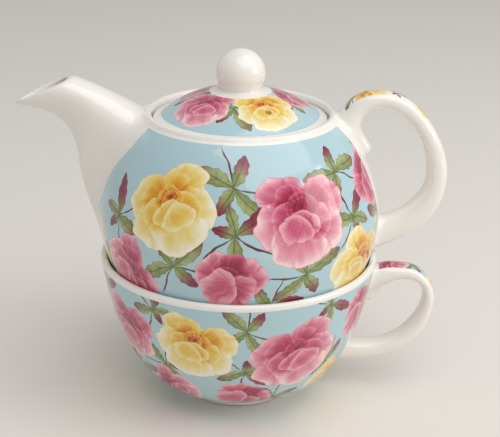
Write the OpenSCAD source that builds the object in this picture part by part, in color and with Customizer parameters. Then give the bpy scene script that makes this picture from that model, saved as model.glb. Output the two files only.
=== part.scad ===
// Tea for one: a teapot that nests on its own cup, with a lid.
// The Z axis is the axis of the cup, z = 0 is the table, the spout points to -X and both handles to +X.

/* [Cup] */
// Outer diameter of the cup at its rim
cup_rim_d = 119; // [112:1:126]
// Height of the cup, table to rim
cup_h = 64.5; // [60:0.5:70]
// Wall of the cup, also the thickness of its rounded lip
cup_wall = 3; // [2.6:0.1:3.6]
// Thickness of the cup's floor above the hollow of its foot
cup_floor_t = 5.2; // [4:0.1:7]
// Outward lean of the cup's wall at the rim, in degrees
cup_flare = 9.5; // [5:0.5:13]
// Outer diameter of the cup's foot ring
cup_foot_d = 50; // [44:1:56]
// Height of the cup's foot ring
cup_foot_h = 4.5; // [3:0.5:6]
// Width of the foot ring's standing face, on cup and teapot
foot_land = 2.6; // [2:0.1:3.4]

/* [Teapot body] */
// Inset of the teapot's widest place from the cup's rim
belly_inset = 0.2; // [-2:0.1:3]
// Height of the widest place above the cup's rim
belly_rise = 18; // [15:0.2:21]
// Height of the teapot's shoulder, where the lip starts, above the cup's rim
shoulder_rise = 60; // [57:0.5:64]
// Slope of the shoulder at the lip, in degrees from the level
shoulder_slope = 37; // [32:1:44]
// Wall of the teapot
pot_wall = 3.2; // [2.8:0.1:3.6]
// Depth of the teapot below the cup's rim
nest_depth = 18; // [15:0.5:21]
// Outer diameter of the teapot's own foot ring
pot_foot_d = 70; // [62:1:76]
// Height of the teapot's foot ring
pot_foot_h = 2.6; // [2:0.1:4]
// Slope of the teapot's wall where it rests in the cup's lip, in degrees from upright
seat_slope = 14; // [10:1:18]
// Gap between the teapot and the cup's lip
seat_gap = 0.3; // [0.2:0.05:0.5]

/* [Lip and lid seat] */
// Outer diameter of the teapot's lip
lip_d = 79.8; // [77:0.2:83]
// Width of the teapot's lip
lip_w = 3.2; // [2.8:0.1:3.8]
// Depth of the ledge that carries the lid, below the top of the lip
ledge_depth = 4.6; // [4:0.1:5.5]
// Thickness of the ledge
ledge_t = 2.8; // [2.4:0.1:3.4]
// Diameter of the teapot's mouth, inside the ledge
mouth_d = 62; // [59:0.2:64]

/* [Lid] */
// Gap all round between the lid and the lip
lid_gap = 0.5; // [0.3:0.1:0.8]
// Thickness of the lid's edge
lid_edge_t = 2; // [1.6:0.1:2.4]
// Width of the lid's edge round the dome
lid_border = 3.5; // [2.5:0.1:4.5]
// Radius of the lid's dome
dome_r = 54; // [50:0.5:60]
// Thickness of the lid
lid_wall = 3; // [2.6:0.1:3.6]
// Gap all round between the lid's collar and the mouth
collar_gap = 0.7; // [0.5:0.1:1.2]
// Depth of the collar below the lid's seat
collar_depth = 9; // [7:0.5:10]
// Thickness of the collar
collar_t = 2.6; // [2.2:0.1:3.2]
// Diameter of the steam vent
vent_d = 2.8; // [2:0.2:4]
// Distance of the steam vent from the lid's axis
vent_at = 22.5; // [21:0.5:24]
// Diameter of the knob
knob_d = 20.4; // [18:0.2:23]
// Height of the knob above the crown of the dome
knob_rise = 16.1; // [14:0.1:18]
// Radius of the hollow curve between the knob and the dome
knob_fillet = 4; // [3:0.1:5]
// Reach of the locking nib beyond the collar
nib_reach = 2.6; // [2:0.1:3]
// Width of the locking nib
nib_w = 13; // [10:0.5:16]

/* [Spout] */
// Reach of the spout's tip beyond the belly
spout_reach = 32.7; // [30:0.1:36]
// Height of the spout's tip above the shoulder
spout_tip_rise = 4.5; // [2:0.1:7]
// Slope of the spout's mouth, in degrees
spout_cut = 24; // [20:1:28]
// Half width of the spout at its root
spout_root_w = 12.5; // [11:0.1:14]
// Half width of the spout at its mouth
spout_mouth_w = 6.8; // [6:0.1:7.6]
// Wall of the spout
spout_wall = 2.4; // [2:0.1:2.8]
// Diameter of each strainer hole
strainer_d = 4.2; // [3:0.1:4.6]
// Spacing of the strainer holes
strainer_pitch = 6.4; // [5.8:0.1:6.8]

/* [Handles] */
// Reach of the teapot's handle beyond the belly
pot_handle_reach = 27.9; // [25:0.1:31]
// Width of the teapot's handle
pot_handle_w = 11; // [9.5:0.1:12.5]
// Thickness of the teapot's handle at its thinnest
pot_handle_t = 6.8; // [5.8:0.1:7.6]
// Reach of the cup's handle beyond the rim
cup_handle_reach = 26.4; // [24:0.1:29]
// Width of the cup's handle
cup_handle_w = 10.6; // [9:0.1:12]
// Thickness of the cup's handle at its thinnest
cup_handle_t = 5; // [4.4:0.1:6]

/* [Hidden] */
$fn = 96;
glaze = [0.7, 0.84, 0.88];
sweep_sides = 24;
spout_sides = 32;
curve_steps = 10;
corner_r = 0.8;
past = 4;

// Heights and radii that several pieces share
cup_r = cup_rim_d / 2;
cup_lip_r = cup_wall / 2;
cup_foot_r = cup_foot_d / 2;
cup_hollow_z = 0.78 * cup_foot_h;
cup_floor_z = cup_hollow_z + cup_floor_t;
belly_r = cup_r - belly_inset;
belly_z = cup_h + belly_rise;
shoulder_r = lip_d / 2;
shoulder_z = cup_h + shoulder_rise;
pot_foot_r = pot_foot_d / 2;
pot_z = cup_h - nest_depth;
pot_hollow_h = 0.85 * pot_foot_h;
pot_floor_z = pot_z + pot_hollow_h + 1.4 * pot_wall;
lip_r = lip_w / 2;
lip_top = shoulder_z + lip_r;
lip_at = [shoulder_r - lip_r, shoulder_z];
recess_r = shoulder_r - lip_w;
ledge_z = lip_top - ledge_depth;
mouth_r = mouth_d / 2;
lid_r = recess_r - lid_gap;
collar_r = mouth_r - collar_gap;
dome_edge_r = lid_r - lid_border;
dome_z = ledge_z + 1.7 * lid_edge_t - sqrt(dome_r * dome_r - dome_edge_r * dome_edge_r);
knob_r = knob_d / 2;
knob_z = dome_z + dome_r + knob_rise - knob_r;

// A cubic curve through p0 and p3, pulled towards p1 and p2
function bez(p0, p1, p2, p3, t) =
    pow(1 - t, 3) * p0 + 3 * t * pow(1 - t, 2) * p1 + 3 * t * t * (1 - t) * p2 + pow(t, 3) * p3;
function bez_dir(p0, p1, p2, p3, t) =
    let (d = pow(1 - t, 2) * (p1 - p0) + 2 * t * (1 - t) * (p2 - p1) + t * t * (p3 - p2)) d / norm(d);
// The curve as points, moved to its left by a thickness that runs from d0 to d1
function bez_run(c, d0 = 0, d1 = 0, steps = curve_steps, to = 1) =
    [for (i = [0 : steps]) let (
        t = to * i / steps,
        v = bez_dir(c[0], c[1], c[2], c[3], t),
        d = d0 + (d1 - d0) * t)
        bez(c[0], c[1], c[2], c[3], t) + d * [-v[1], v[0]]];
function arc_run(centre, r, a0, a1, steps) =
    [for (i = [0 : steps]) let (a = a0 + (a1 - a0) * i / steps) centre + r * [cos(a), sin(a)]];
function polar(a) = [cos(a), sin(a)];

// Cup: the wall's outer curve runs from the foot to the lip
cup_lip = [cup_r - cup_lip_r, cup_h - cup_lip_r];
cup_wall_end = cup_lip + cup_lip_r * polar(-cup_flare);
cup_curve = [
    [cup_foot_r, cup_foot_h],
    [cup_foot_r + 0.59 * (cup_r - cup_foot_r), cup_foot_h + 0.04 * (cup_h - cup_foot_h)],
    cup_wall_end - 0.58 * (cup_h - cup_foot_h) * polar(90 - cup_flare),
    cup_wall_end];
cup_inside = bez_run(cup_curve, cup_floor_z - cup_foot_h, cup_wall, 14);

// Teapot: the wall's outer curve runs from the foot to the seat, the belly and the shoulder
seat_at = cup_lip + (cup_lip_r + seat_gap) * polar(180 - seat_slope);
seat_dir = polar(90 - seat_slope);
nest_curve = [
    [pot_foot_r, pot_z + pot_foot_h],
    [pot_foot_r + 0.55 * (seat_at[0] - pot_foot_r), pot_z + pot_foot_h + 0.067 * nest_depth],
    seat_at - 0.42 * nest_depth * seat_dir,
    seat_at];
waist_curve = [
    seat_at,
    seat_at + 0.33 * (belly_z - seat_at[1]) * seat_dir,
    [belly_r, belly_z - 0.4 * (belly_z - seat_at[1])],
    [belly_r, belly_z]];
shoulder_curve = [
    [belly_r, belly_z],
    [belly_r, belly_z + 0.27 * (shoulder_z - belly_z)],
    [shoulder_r, shoulder_z] + 0.67 * (belly_r - shoulder_r) * polar(-shoulder_slope),
    [shoulder_r, shoulder_z]];
// Share of the shoulder's inner curve that stays below the ledge
under_ledge = 0.8;

// Handles: each centre line is a chain of cubic curves in the plane of the spout and the handles
pot_top = [belly_r, shoulder_z] + pot_handle_reach * [-0.047, 0.265];
pot_side = [belly_r, shoulder_z] + pot_handle_reach * [0.853, -0.914];
pot_low = [belly_r, belly_z] - pot_handle_reach * [0.2, 0.4];
pot_handle_line = [
    [pot_top - pot_handle_reach * [0.52, 0.81], pot_top - pot_handle_reach * [0.548, 0.237],
        pot_top - pot_handle_reach * [0.323, 0], pot_top],
    [pot_top, pot_top + pot_handle_reach * [0.466, 0], pot_side + pot_handle_reach * [0, 0.556], pot_side],
    [pot_side, pot_side - pot_handle_reach * [0.007, 0.556],
        pot_low + pot_handle_reach * [0.573, 0.143], pot_low]];
pot_kick_line = [for (v = [[0.448, 0.287], [0.48, 0.448], [0.34, 0.624], [0.219, 0.763]])
    pot_top - pot_handle_reach * v];
pot_handle_sizes = pot_handle_t * [1.5, 1.27, 1, 1.03, 1.29, 1.65, 1.95];
cup_top = [cup_r, cup_h] + cup_handle_reach * [0.477, -0.371];
cup_side = [cup_r, cup_h] + cup_handle_reach * [0.902, -0.826];
cup_low = [0.941 * cup_r, 0.26 * cup_h];
cup_handle_line = [
    [[cup_r, cup_h] - cup_handle_reach * [0.246, 0.553], cup_top - cup_handle_reach * [0.455, 0.072],
        cup_top - cup_handle_reach * [0.227, -0.008], cup_top],
    [cup_top, cup_top + cup_handle_reach * [0.265, -0.008], cup_side + cup_handle_reach * [0, 0.246], cup_side],
    [cup_side, cup_side - cup_handle_reach * [0, 0.417], cup_low + cup_handle_reach * [0.682, 0.015], cup_low],
    [for (v = [[0, 0], [0.101, 0.002], [0.202, 0.007], [0.303, 0.017]]) cup_low - cup_r * v]];
cup_kick_line = [for (v = [[0.133, -0.473], [0.076, -0.568], [0.008, -0.674], [-0.072, -0.826]])
    [cup_r, cup_h] + cup_handle_reach * v];
cup_handle_sizes = cup_handle_t * [2.1, 1.75, 1.25, 0.95, 1.02, 1.5, 1.72, 1.85, 1.9];

// Spout: a loft between a lower and an upper edge, both in the plane of the handles
tip = [-belly_r - spout_reach, shoulder_z + spout_tip_rise];
throat = tip + spout_reach * [0.74, -0.734];
spout_low = [
    [[-belly_r, belly_z] + spout_reach * [0.162, -0.566], [-belly_r, belly_z] - spout_reach * [0.092, 0.199],
        throat + spout_reach * [0.024, -0.327], throat],
    [throat, throat + spout_reach * [-0.063, 0.83], tip - spout_reach * [0.057, 0.159],
        tip - spout_reach * [0.027, 0.008]]];
spout_high = [
    [-shoulder_r, shoulder_z] + spout_reach * [0.306, -0.138],
    [-shoulder_r, shoulder_z] + spout_reach * [-0.202, 0.153],
    tip + spout_reach * [0.902, 0.306], tip + spout_reach * [0.275, 0.443]];
// Share of the spout's length that stays solid at its foot
channel_from = 0.2;
// How far the channel keeps off the spout's lower edge at the foot, as a share of the spout's depth
channel_lift = 0.1;
// Place of the strainer along the shoulder's curve
strainer_t = 0.52;

function blend_at(list, s) =
    let (x = s * (len(list) - 1), i = min(floor(x), len(list) - 2), f = x - i, g = f * f * (3 - 2 * f))
    list[i] * (1 - g) + list[i + 1] * g;
function signed_pow(x, e) = sign(x) * pow(abs(x), e);

// Closes rings of equal length into one solid
module skin(rings) {
    n = len(rings[0]);
    m = len(rings);
    polyhedron(
        points = [for (ring = rings) for (p = ring) p],
        faces = concat(
            [[for (i = [0 : n - 1]) i]],
            [for (k = [0 : m - 2]) for (i = [0 : n - 1])
                [k * n + i, (k + 1) * n + i, k * n + (i + 1) % n]],
            [for (k = [0 : m - 2]) for (i = [0 : n - 1])
                [k * n + (i + 1) % n, (k + 1) * n + i, (k + 1) * n + (i + 1) % n]],
            [[for (i = [n - 1 : -1 : 0]) (m - 1) * n + i]]));
}

// A rounded strap along a chain of curves: thickness from sizes, one width
module strap(line, sizes, width) {
    count = len(line);
    skin([for (k = [0 : count * curve_steps]) let (
        x = k / curve_steps,
        j = min(floor(x), count - 1),
        c = line[j],
        at = bez(c[0], c[1], c[2], c[3], x - j),
        v = bez_dir(c[0], c[1], c[2], c[3], x - j),
        half = blend_at(sizes, x / count) / 2)
        [for (i = [0 : sweep_sides - 1]) let (
            a = 360 * i / sweep_sides,
            out = half * signed_pow(sin(a), 0.85),
            side = width / 2 * signed_pow(cos(a), 0.8))
            [at[0] - out * v[1], side, at[1] + out * v[0]]]]);
}

// One ring of the spout: narrow below, wide above, made smaller by the wall for the channel
function spout_ring(s, low, high, wide, wall) =
    let (
        mid = (low + high) / 2,
        reach = norm(high - low) / 2,
        up = (high - low) / (2 * reach),
        squareness = 0.74 + 0.26 * s,
        lean = 0.85 - 0.65 * s,
        h_size = reach - wall,
        w_size = wide - wall)
    [for (i = [0 : spout_sides - 1]) let (
        a = 360 * i / spout_sides,
        h = signed_pow(cos(a), squareness),
        w = w_size * signed_pow(sin(a), squareness) * (1 + lean * h),
        at = mid + h * h_size * up)
        [at[0], w, at[1]]];
function spout_low_at(s) =
    s < 0.5 ? let (c = spout_low[0]) bez(c[0], c[1], c[2], c[3], 2 * s)
    : let (c = spout_low[1]) bez(c[0], c[1], c[2], c[3], 2 * s - 1);
function spout_high_at(s) = bez(spout_high[0], spout_high[1], spout_high[2], spout_high[3], s);
function spout_width_at(s) = spout_mouth_w + (spout_root_w - spout_mouth_w) * pow(1 - s, 1.5);

// The spout, or its channel when a wall is given
module spout_loft(from = 0, wall = 0) {
    steps = 16;
    skin([for (k = [0 : steps]) let (
        s = from + (1 - from) * k / steps,
        low = spout_low_at(s),
        high = spout_high_at(s),
        lift = wall > 0 ? channel_lift * (1 - s) : 0)
        spout_ring(s, low + lift * (high - low), high, spout_width_at(s), wall)]);
}

// What the slanted mouth cuts away: the mouth's edge is a shallow arc, highest halfway
module mouth_cut() {
    run = 0.92 * spout_reach;
    crown = 0.015 * spout_reach;
    over = 0.25 * spout_reach;
    edge = [for (i = [0 : 8]) let (f = i / 8) [run * f, 4 * crown * f * (1 - f)]];
    translate([tip[0], 0, tip[1]])
        rotate([90, -spout_cut, 0])
            linear_extrude(4 * spout_mouth_w, center = true)
                polygon(concat([[-over, 0]], edge, [[run + over, 0], [run + over, run], [-over, run]]));
}

// The nub below a handle's upper root: round along one curve, from radius r0 to r1, with a round end
module kick(c, r0, r1) {
    steps = 6;
    ahead = bez_dir(c[0], c[1], c[2], c[3], 1);
    stem = [for (i = [0 : steps]) let (t = i / steps)
        [bez(c[0], c[1], c[2], c[3], t), bez_dir(c[0], c[1], c[2], c[3], t), r0 + (r1 - r0) * t]];
    end = [for (a = [25, 50, 70, 84]) [c[3] + r1 * sin(a) * ahead, ahead, r1 * cos(a)]];
    skin([for (ring = concat(stem, end)) [for (i = [0 : sweep_sides - 1]) let (
        a = 360 * i / sweep_sides,
        out = ring[2] * sin(a))
        [ring[0][0] - out * ring[1][1], ring[2] * cos(a), ring[0][1] + out * ring[1][0]]]]);
}

module cup_outside() {
    rotate_extrude()
        polygon(concat(
            [[0, 0], [cup_foot_r - corner_r, 0], [cup_foot_r, corner_r]],
            bez_run(cup_curve, steps = 14),
            arc_run(cup_lip, cup_lip_r, 0, 90, 6),
            [[0, cup_h]]));
}

module cup_space() {
    lip_inside = arc_run(cup_lip, cup_lip_r, 180 - cup_flare, 90, 6);
    rotate_extrude()
        polygon(concat([[0, cup_floor_z]], cup_inside, lip_inside, [[cup_lip[0], cup_h + past], [0, cup_h + past]]));
}

module foot_hollow(r, z, depth) {
    rotate_extrude()
        polygon([[0, z - past], [r - foot_land, z - past], [r - foot_land, z],
            [r - foot_land - corner_r, z + corner_r], [r - foot_land - 2 * corner_r, z + depth], [0, z + depth]]);
}

module cup() {
    color(glaze)
        difference() {
            union() {
                cup_outside();
                strap(cup_handle_line, cup_handle_sizes, cup_handle_w);
                kick(cup_kick_line, 0.72 * cup_handle_t, 0.46 * cup_handle_t);
            }
            cup_space();
            foot_hollow(cup_foot_r, 0, cup_hollow_z);
        }
}

module teapot_outside() {
    rotate_extrude()
        polygon(concat(
            [[0, pot_z], [pot_foot_r - corner_r, pot_z], [pot_foot_r, pot_z + corner_r]],
            bez_run(nest_curve),
            bez_run(waist_curve, steps = 6),
            bez_run(shoulder_curve, steps = 16),
            arc_run(lip_at, lip_r, 15, 90, 5),
            [[0, lip_top]]));
}

module teapot_space() {
    nest_in = bez_run(nest_curve, pot_floor_z - nest_curve[0][1], pot_wall);
    waist_in = bez_run(waist_curve, pot_wall, pot_wall, 6);
    shoulder_in = bez_run(shoulder_curve, pot_wall, pot_wall, 12, under_ledge);
    rotate_extrude()
        polygon(concat(
            [[0, pot_floor_z]], nest_in, waist_in, shoulder_in,
            [[mouth_r, ledge_z - ledge_t], [mouth_r, ledge_z], [recess_r, ledge_z]],
            arc_run(lip_at, lip_r, 180, 90, 5),
            [[lip_at[0], lip_top + past], [0, lip_top + past]]));
}

// The holes that hold the leaves back: a ring round one hole, square to the wall at the spout's root
module strainer() {
    c = shoulder_curve;
    v = bez_dir(c[0], c[1], c[2], c[3], strainer_t);
    wall_at = bez(c[0], c[1], c[2], c[3], strainer_t) + pot_wall / 2 * [-v[1], v[0]];
    tilt = atan2(-v[0], v[1]);
    translate([-wall_at[0], 0, wall_at[1]])
        rotate([0, tilt - 90, 0])
            for (i = [0 : 6])
                rotate([0, 0, 60 * i])
                    translate([i == 6 ? 0 : strainer_pitch, 0, 0])
                        cylinder(h = 3 * pot_wall, d = strainer_d, center = true, $fn = 32);
}

module teapot() {
    color(glaze)
        difference() {
            union() {
                teapot_outside();
                difference() {
                    spout_loft();
                    mouth_cut();
                }
                strap(pot_handle_line, pot_handle_sizes, pot_handle_w);
                kick(pot_kick_line, 0.735 * pot_handle_t, 0.44 * pot_handle_t);
            }
            teapot_space();
            difference() {
                spout_loft(channel_from, spout_wall);
                teapot_outside();
            }
            strainer();
            foot_hollow(pot_foot_r, pot_z, pot_hollow_h);
        }
}

// The lid's disc, dome, knob and collar, turned in one piece
module lid_turned() {
    edge_top = ledge_z + lid_edge_t;
    edge_r = 0.35 * lid_edge_t;
    bevel = 0.6;
    neck_r = knob_r - 1.6;
    inner_r = collar_r - collar_t;
    under_r = dome_r - lid_wall;
    dome_a0 = acos(dome_edge_r / dome_r);
    dome_a1 = acos((neck_r + knob_fillet) / dome_r);
    dome_end = [0, dome_z] + dome_r * polar(dome_a1);
    knob_a = -acos(neck_r / knob_r);
    knob_start = [0, knob_z] + knob_r * polar(knob_a);
    rotate_extrude()
        polygon(concat(
            [[lid_r - edge_r, ledge_z], [lid_r, ledge_z + edge_r], [lid_r, edge_top - edge_r],
                [lid_r - edge_r, edge_top]],
            arc_run([0, dome_z], dome_r, dome_a0, dome_a1, 12),
            bez_run([dome_end, dome_end + 0.5 * knob_fillet * polar(90 + dome_a1),
                knob_start - 0.4 * knob_fillet * polar(90 + knob_a), knob_start], steps = 5),
            arc_run([0, knob_z], knob_r, knob_a, 90, 14),
            [[0, dome_z + under_r]],
            arc_run([0, dome_z], under_r, 80, acos(inner_r / under_r), 8),
            [[inner_r, ledge_z - collar_depth + bevel], [inner_r + bevel, ledge_z - collar_depth],
                [collar_r - bevel, ledge_z - collar_depth], [collar_r, ledge_z - collar_depth + bevel],
                [collar_r, ledge_z]]));
}

// The nib that catches under the ledge when the teapot is tipped
module nib() {
    nib_h = 2.8;
    nib_drop = 1.4;
    nib_z = ledge_z - ledge_t - nib_drop - nib_h;
    intersection() {
        translate([0, 0, nib_z])
            difference() {
                cylinder(h = nib_h, r = collar_r + nib_reach);
                translate([0, 0, -1]) cylinder(h = nib_h + 2, r = collar_r - collar_t / 2);
            }
        translate([0, -nib_w / 2, nib_z - 1]) cube([collar_r + nib_reach + 1, nib_w, nib_h + 2]);
    }
}

module lid() {
    vent_angle = -60;
    color(glaze)
        difference() {
            union() {
                lid_turned();
                nib();
            }
            rotate([0, 0, vent_angle])
                translate([vent_at, 0, ledge_z])
                    cylinder(h = dome_r, d = vent_d, $fn = 32);
        }
}

cup();
teapot();
lid();
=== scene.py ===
"""Tea for one: a teapot with its lid on its own cup, in glazed ceramic with a rose print."""

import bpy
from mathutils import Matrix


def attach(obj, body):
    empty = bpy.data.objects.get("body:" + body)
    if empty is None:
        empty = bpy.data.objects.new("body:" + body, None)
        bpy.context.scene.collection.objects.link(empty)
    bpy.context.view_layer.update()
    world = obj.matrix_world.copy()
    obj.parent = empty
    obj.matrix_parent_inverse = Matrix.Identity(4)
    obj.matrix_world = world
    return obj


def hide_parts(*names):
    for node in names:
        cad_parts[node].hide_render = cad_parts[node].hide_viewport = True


bl_info = {
    "name": "Tea for one",
    "version": (1, 0, 0),
    "blender": (4, 5, 0),
    "location": "3D View > Sidebar > Tea for one",
    "description": "Builds a teapot, its lid and its cup around their packed model",
    "category": "Object",
}

import math
from types import SimpleNamespace

import bpy
import numpy as np
from mathutils import Matrix, Vector

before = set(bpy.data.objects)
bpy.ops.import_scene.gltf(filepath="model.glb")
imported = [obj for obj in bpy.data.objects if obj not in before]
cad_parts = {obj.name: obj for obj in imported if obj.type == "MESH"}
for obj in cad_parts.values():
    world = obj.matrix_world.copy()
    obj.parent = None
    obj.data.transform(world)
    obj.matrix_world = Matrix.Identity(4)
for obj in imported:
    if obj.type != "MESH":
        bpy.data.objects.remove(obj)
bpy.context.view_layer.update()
FRAME_WIDTH = 500  # pixels of the photograph
MM = 0.001
PAST = 40  # how far an outline runs on past an open end, in millimetres
FOOT_LAND = 2.6  # width of the standing face of the teapot's foot ring, in millimetres
NIB_HEIGHT = 2.8
VENT_AZIMUTH = -60


# Settings

def length(mm, name, description):
    """A length in millimetres as a property in metres."""
    return bpy.props.FloatProperty(
        name=name, description=description, default=mm * MM, unit="LENGTH", precision=5)


def angle(degrees, name, description):
    return bpy.props.FloatProperty(
        name=name, description=description, default=math.radians(degrees), subtype="ANGLE",
        unit="ROTATION")


def linear(hex_code):
    """The linear values of a colour written as it should look on screen."""
    return [((int(hex_code[i:i + 2], 16) / 255 + 0.055) / 1.055) ** 2.4 for i in (0, 2, 4)]


def colour(hex_code, name, description):
    return bpy.props.FloatVectorProperty(
        name=name, description=description, default=linear(hex_code), subtype="COLOR", size=3, min=0, max=1)


def factor(value, name, description, high=1.0):
    return bpy.props.FloatProperty(name=name, description=description, default=value, min=0.0, max=high)


def count(value, name, description):
    return bpy.props.IntProperty(name=name, description=description, default=value, min=3)


class CupSizes(bpy.types.PropertyGroup):
    rim_d: length(119, "Rim", "Outer diameter of the cup at its rim")
    height: length(64.5, "Height", "Height of the cup, table to rim")
    wall: length(3, "Wall", "Wall of the cup and thickness of its lip")
    floor_t: length(5.2, "Floor", "Thickness of the floor above the hollow of the foot")
    flare: angle(9.5, "Flare", "Outward lean of the wall at the rim")
    foot_d: length(50, "Foot", "Outer diameter of the foot ring")
    foot_h: length(4.5, "Foot height", "Height of the foot ring")
    foot_land: length(2.6, "Foot width", "Width of the foot ring's standing face")
    handle_reach: length(26.4, "Handle reach", "Reach of the handle beyond the rim")
    handle_w: length(10.6, "Handle width", "Width of the handle")
    handle_t: length(5, "Handle thickness", "Thickness of the handle at its thinnest")
    pitch: length(0.86, "Mesh pitch", "Spacing of the mesh's points before it is thinned out")
    triangles: count(170000, "Triangles", "Most triangles of the mesh")


class TeapotSizes(bpy.types.PropertyGroup):
    belly_inset: length(0.2, "Belly inset", "Inset of the widest place from the cup's rim")
    belly_rise: length(18, "Belly height", "Height of the widest place above the cup's rim")
    shoulder_rise: length(60, "Shoulder height", "Height of the shoulder above the cup's rim")
    shoulder_slope: angle(37, "Shoulder slope", "Slope of the shoulder at the lip")
    wall: length(3.2, "Wall", "Wall of the teapot")
    nest_depth: length(18, "Nest depth", "Depth of the teapot below the cup's rim")
    foot_d: length(70, "Foot", "Outer diameter of the foot ring")
    foot_h: length(2.6, "Foot height", "Height of the foot ring")
    seat_slope: angle(14, "Seat slope", "Slope of the wall where it rests in the cup's lip")
    seat_gap: length(0.3, "Seat gap", "Gap between the teapot and the cup's lip")
    lip_d: length(79.8, "Lip", "Outer diameter of the lip")
    lip_w: length(3.2, "Lip width", "Width of the lip")
    ledge_depth: length(4.6, "Ledge depth", "Depth of the lid's ledge below the lip")
    ledge_t: length(2.8, "Ledge thickness", "Thickness of the ledge")
    mouth_d: length(62, "Mouth", "Diameter of the mouth inside the ledge")
    spout_reach: length(32.7, "Spout reach", "Reach of the spout's tip beyond the belly")
    spout_tip_rise: length(4.5, "Spout tip", "Height of the spout's tip above the shoulder")
    spout_cut: angle(24, "Spout cut", "Slope of the spout's mouth")
    spout_root_w: length(12.5, "Spout root", "Half width of the spout at its root")
    spout_mouth_w: length(6.8, "Spout mouth", "Half width of the spout at its mouth")
    spout_wall: length(2.4, "Spout wall", "Wall of the spout")
    strainer_d: length(4.2, "Strainer holes", "Diameter of each strainer hole")
    strainer_pitch: length(6.4, "Strainer spacing", "Spacing of the strainer holes")
    handle_reach: length(27.9, "Handle reach", "Reach of the handle beyond the belly")
    handle_w: length(11, "Handle width", "Width of the handle")
    handle_t: length(6.8, "Handle thickness", "Thickness of the handle at its thinnest")
    pitch: length(0.8, "Mesh pitch", "Spacing of the mesh's points before it is thinned out")
    triangles: count(190000, "Triangles", "Most triangles of the mesh")


class LidSizes(bpy.types.PropertyGroup):
    gap: length(0.5, "Gap", "Gap all round between the lid and the lip")
    edge_t: length(2, "Edge", "Thickness of the lid's edge")
    border: length(3.5, "Border", "Width of the edge round the dome")
    dome_r: length(54, "Dome radius", "Radius of the dome")
    wall: length(3, "Wall", "Thickness of the lid")
    collar_gap: length(0.7, "Collar gap", "Gap between the collar and the mouth")
    collar_depth: length(9, "Collar depth", "Depth of the collar below the seat")
    collar_t: length(2.6, "Collar thickness", "Thickness of the collar")
    vent_d: length(2.8, "Steam vent", "Diameter of the steam vent")
    vent_at: length(22.5, "Vent place", "Distance of the steam vent from the axis")
    knob_d: length(20.4, "Knob", "Diameter of the knob")
    knob_rise: length(16.1, "Knob height", "Height of the knob above the dome's crown")
    knob_fillet: length(4, "Knob root", "Radius of the hollow curve below the knob")
    nib_reach: length(2.6, "Nib reach", "Reach of the locking nib")
    nib_w: length(13, "Nib width", "Width of the locking nib")
    segments: count(224, "Segments", "Segments of the lid round its axis")


class GlazeLook(bpy.types.PropertyGroup):
    white: colour("f2eee8", "White", "The bare white glaze")
    clay: colour("d9cdb8", "Clay", "The unglazed face of a foot ring")
    ground: colour("b0cfd7", "Ground", "Pale blue ground of the print")
    roughness: factor(0.1, "Roughness", "Roughness of the glaze")
    coat: factor(0.35, "Clear coat", "Weight of the clear layer over the print")
    ripple: factor(0.12, "Ripple", "Strength of the glaze's faint unevenness")


class StageLook(bpy.types.PropertyGroup):
    floor: colour("e9e5df", "Floor", "Colour of the floor")
    key: factor(7.0, "Key light", "Power of the main lamp in watts", 200.0)
    window: factor(2.8, "Window light", "Power of the lamp on the right in watts", 200.0)
    sky: factor(0.5, "Sky", "Strength of the light from all round", 5.0)


# Curves and distances, all in millimetres; a distance is negative inside the clay

def xz(x, z):
    return np.array([x, z], float)


def polar(a):
    return xz(math.cos(a), math.sin(a))


def cubic(c, count=60):
    """Points and directions along a cubic curve."""
    p0, p1, p2, p3 = (np.asarray(p, float) for p in c)
    t = np.linspace(0, 1, count)[:, None]
    at = (1 - t) ** 3 * p0 + 3 * t * (1 - t) ** 2 * p1 + 3 * t * t * (1 - t) * p2 + t ** 3 * p3
    v = (1 - t) ** 2 * (p1 - p0) + 2 * t * (1 - t) * (p2 - p1) + t * t * (p3 - p2)
    return at, v / np.linalg.norm(v, axis=1)[:, None]


def beside(c, d0=0.0, d1=0.0, count=60, to=1.0):
    """The curve moved to its left by d0 at its start to d1 at its end."""
    at, v = cubic(c, 4 * count)
    t = np.linspace(0, 1, 4 * count)
    at = at + (d0 + (d1 - d0) * t)[:, None] * np.stack([-v[:, 1], v[:, 0]], 1)
    return at[t <= to][::3]


def arc(centre, r, a0, a1, count=16):
    a = np.linspace(a0, a1, count)
    return np.asarray(centre, float) + r * np.stack([np.cos(a), np.sin(a)], 1)


def stack(*parts):
    return np.concatenate([np.atleast_2d(np.asarray(p, float)) for p in parts])


def soft_min(a, b, k):
    h = np.clip(0.5 + 0.5 * (b - a) / k, 0, 1)
    return b + (a - b) * h - k * h * (1 - h)


def soft_max(a, b, k):
    return -soft_min(-a, -b, k)


def outline_distance(points, outline):
    px, py = points.T
    best = np.full(len(points), 1e9)
    inside = np.zeros(len(points), bool)
    for (ax, ay), (bx, by) in zip(outline, np.roll(outline, -1, axis=0)):
        ex, ey = bx - ax, by - ay
        wx, wy = px - ax, py - ay
        t = np.clip((wx * ex + wy * ey) / max(ex * ex + ey * ey, 1e-12), 0, 1)
        best = np.minimum(best, (wx - ex * t) ** 2 + (wy - ey * t) ** 2)
        if ey:
            inside ^= ((ay > py) != (by > py)) & (px < ax + wy * ex / ey)
    return np.where(inside, -1, 1) * np.sqrt(best)


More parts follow.
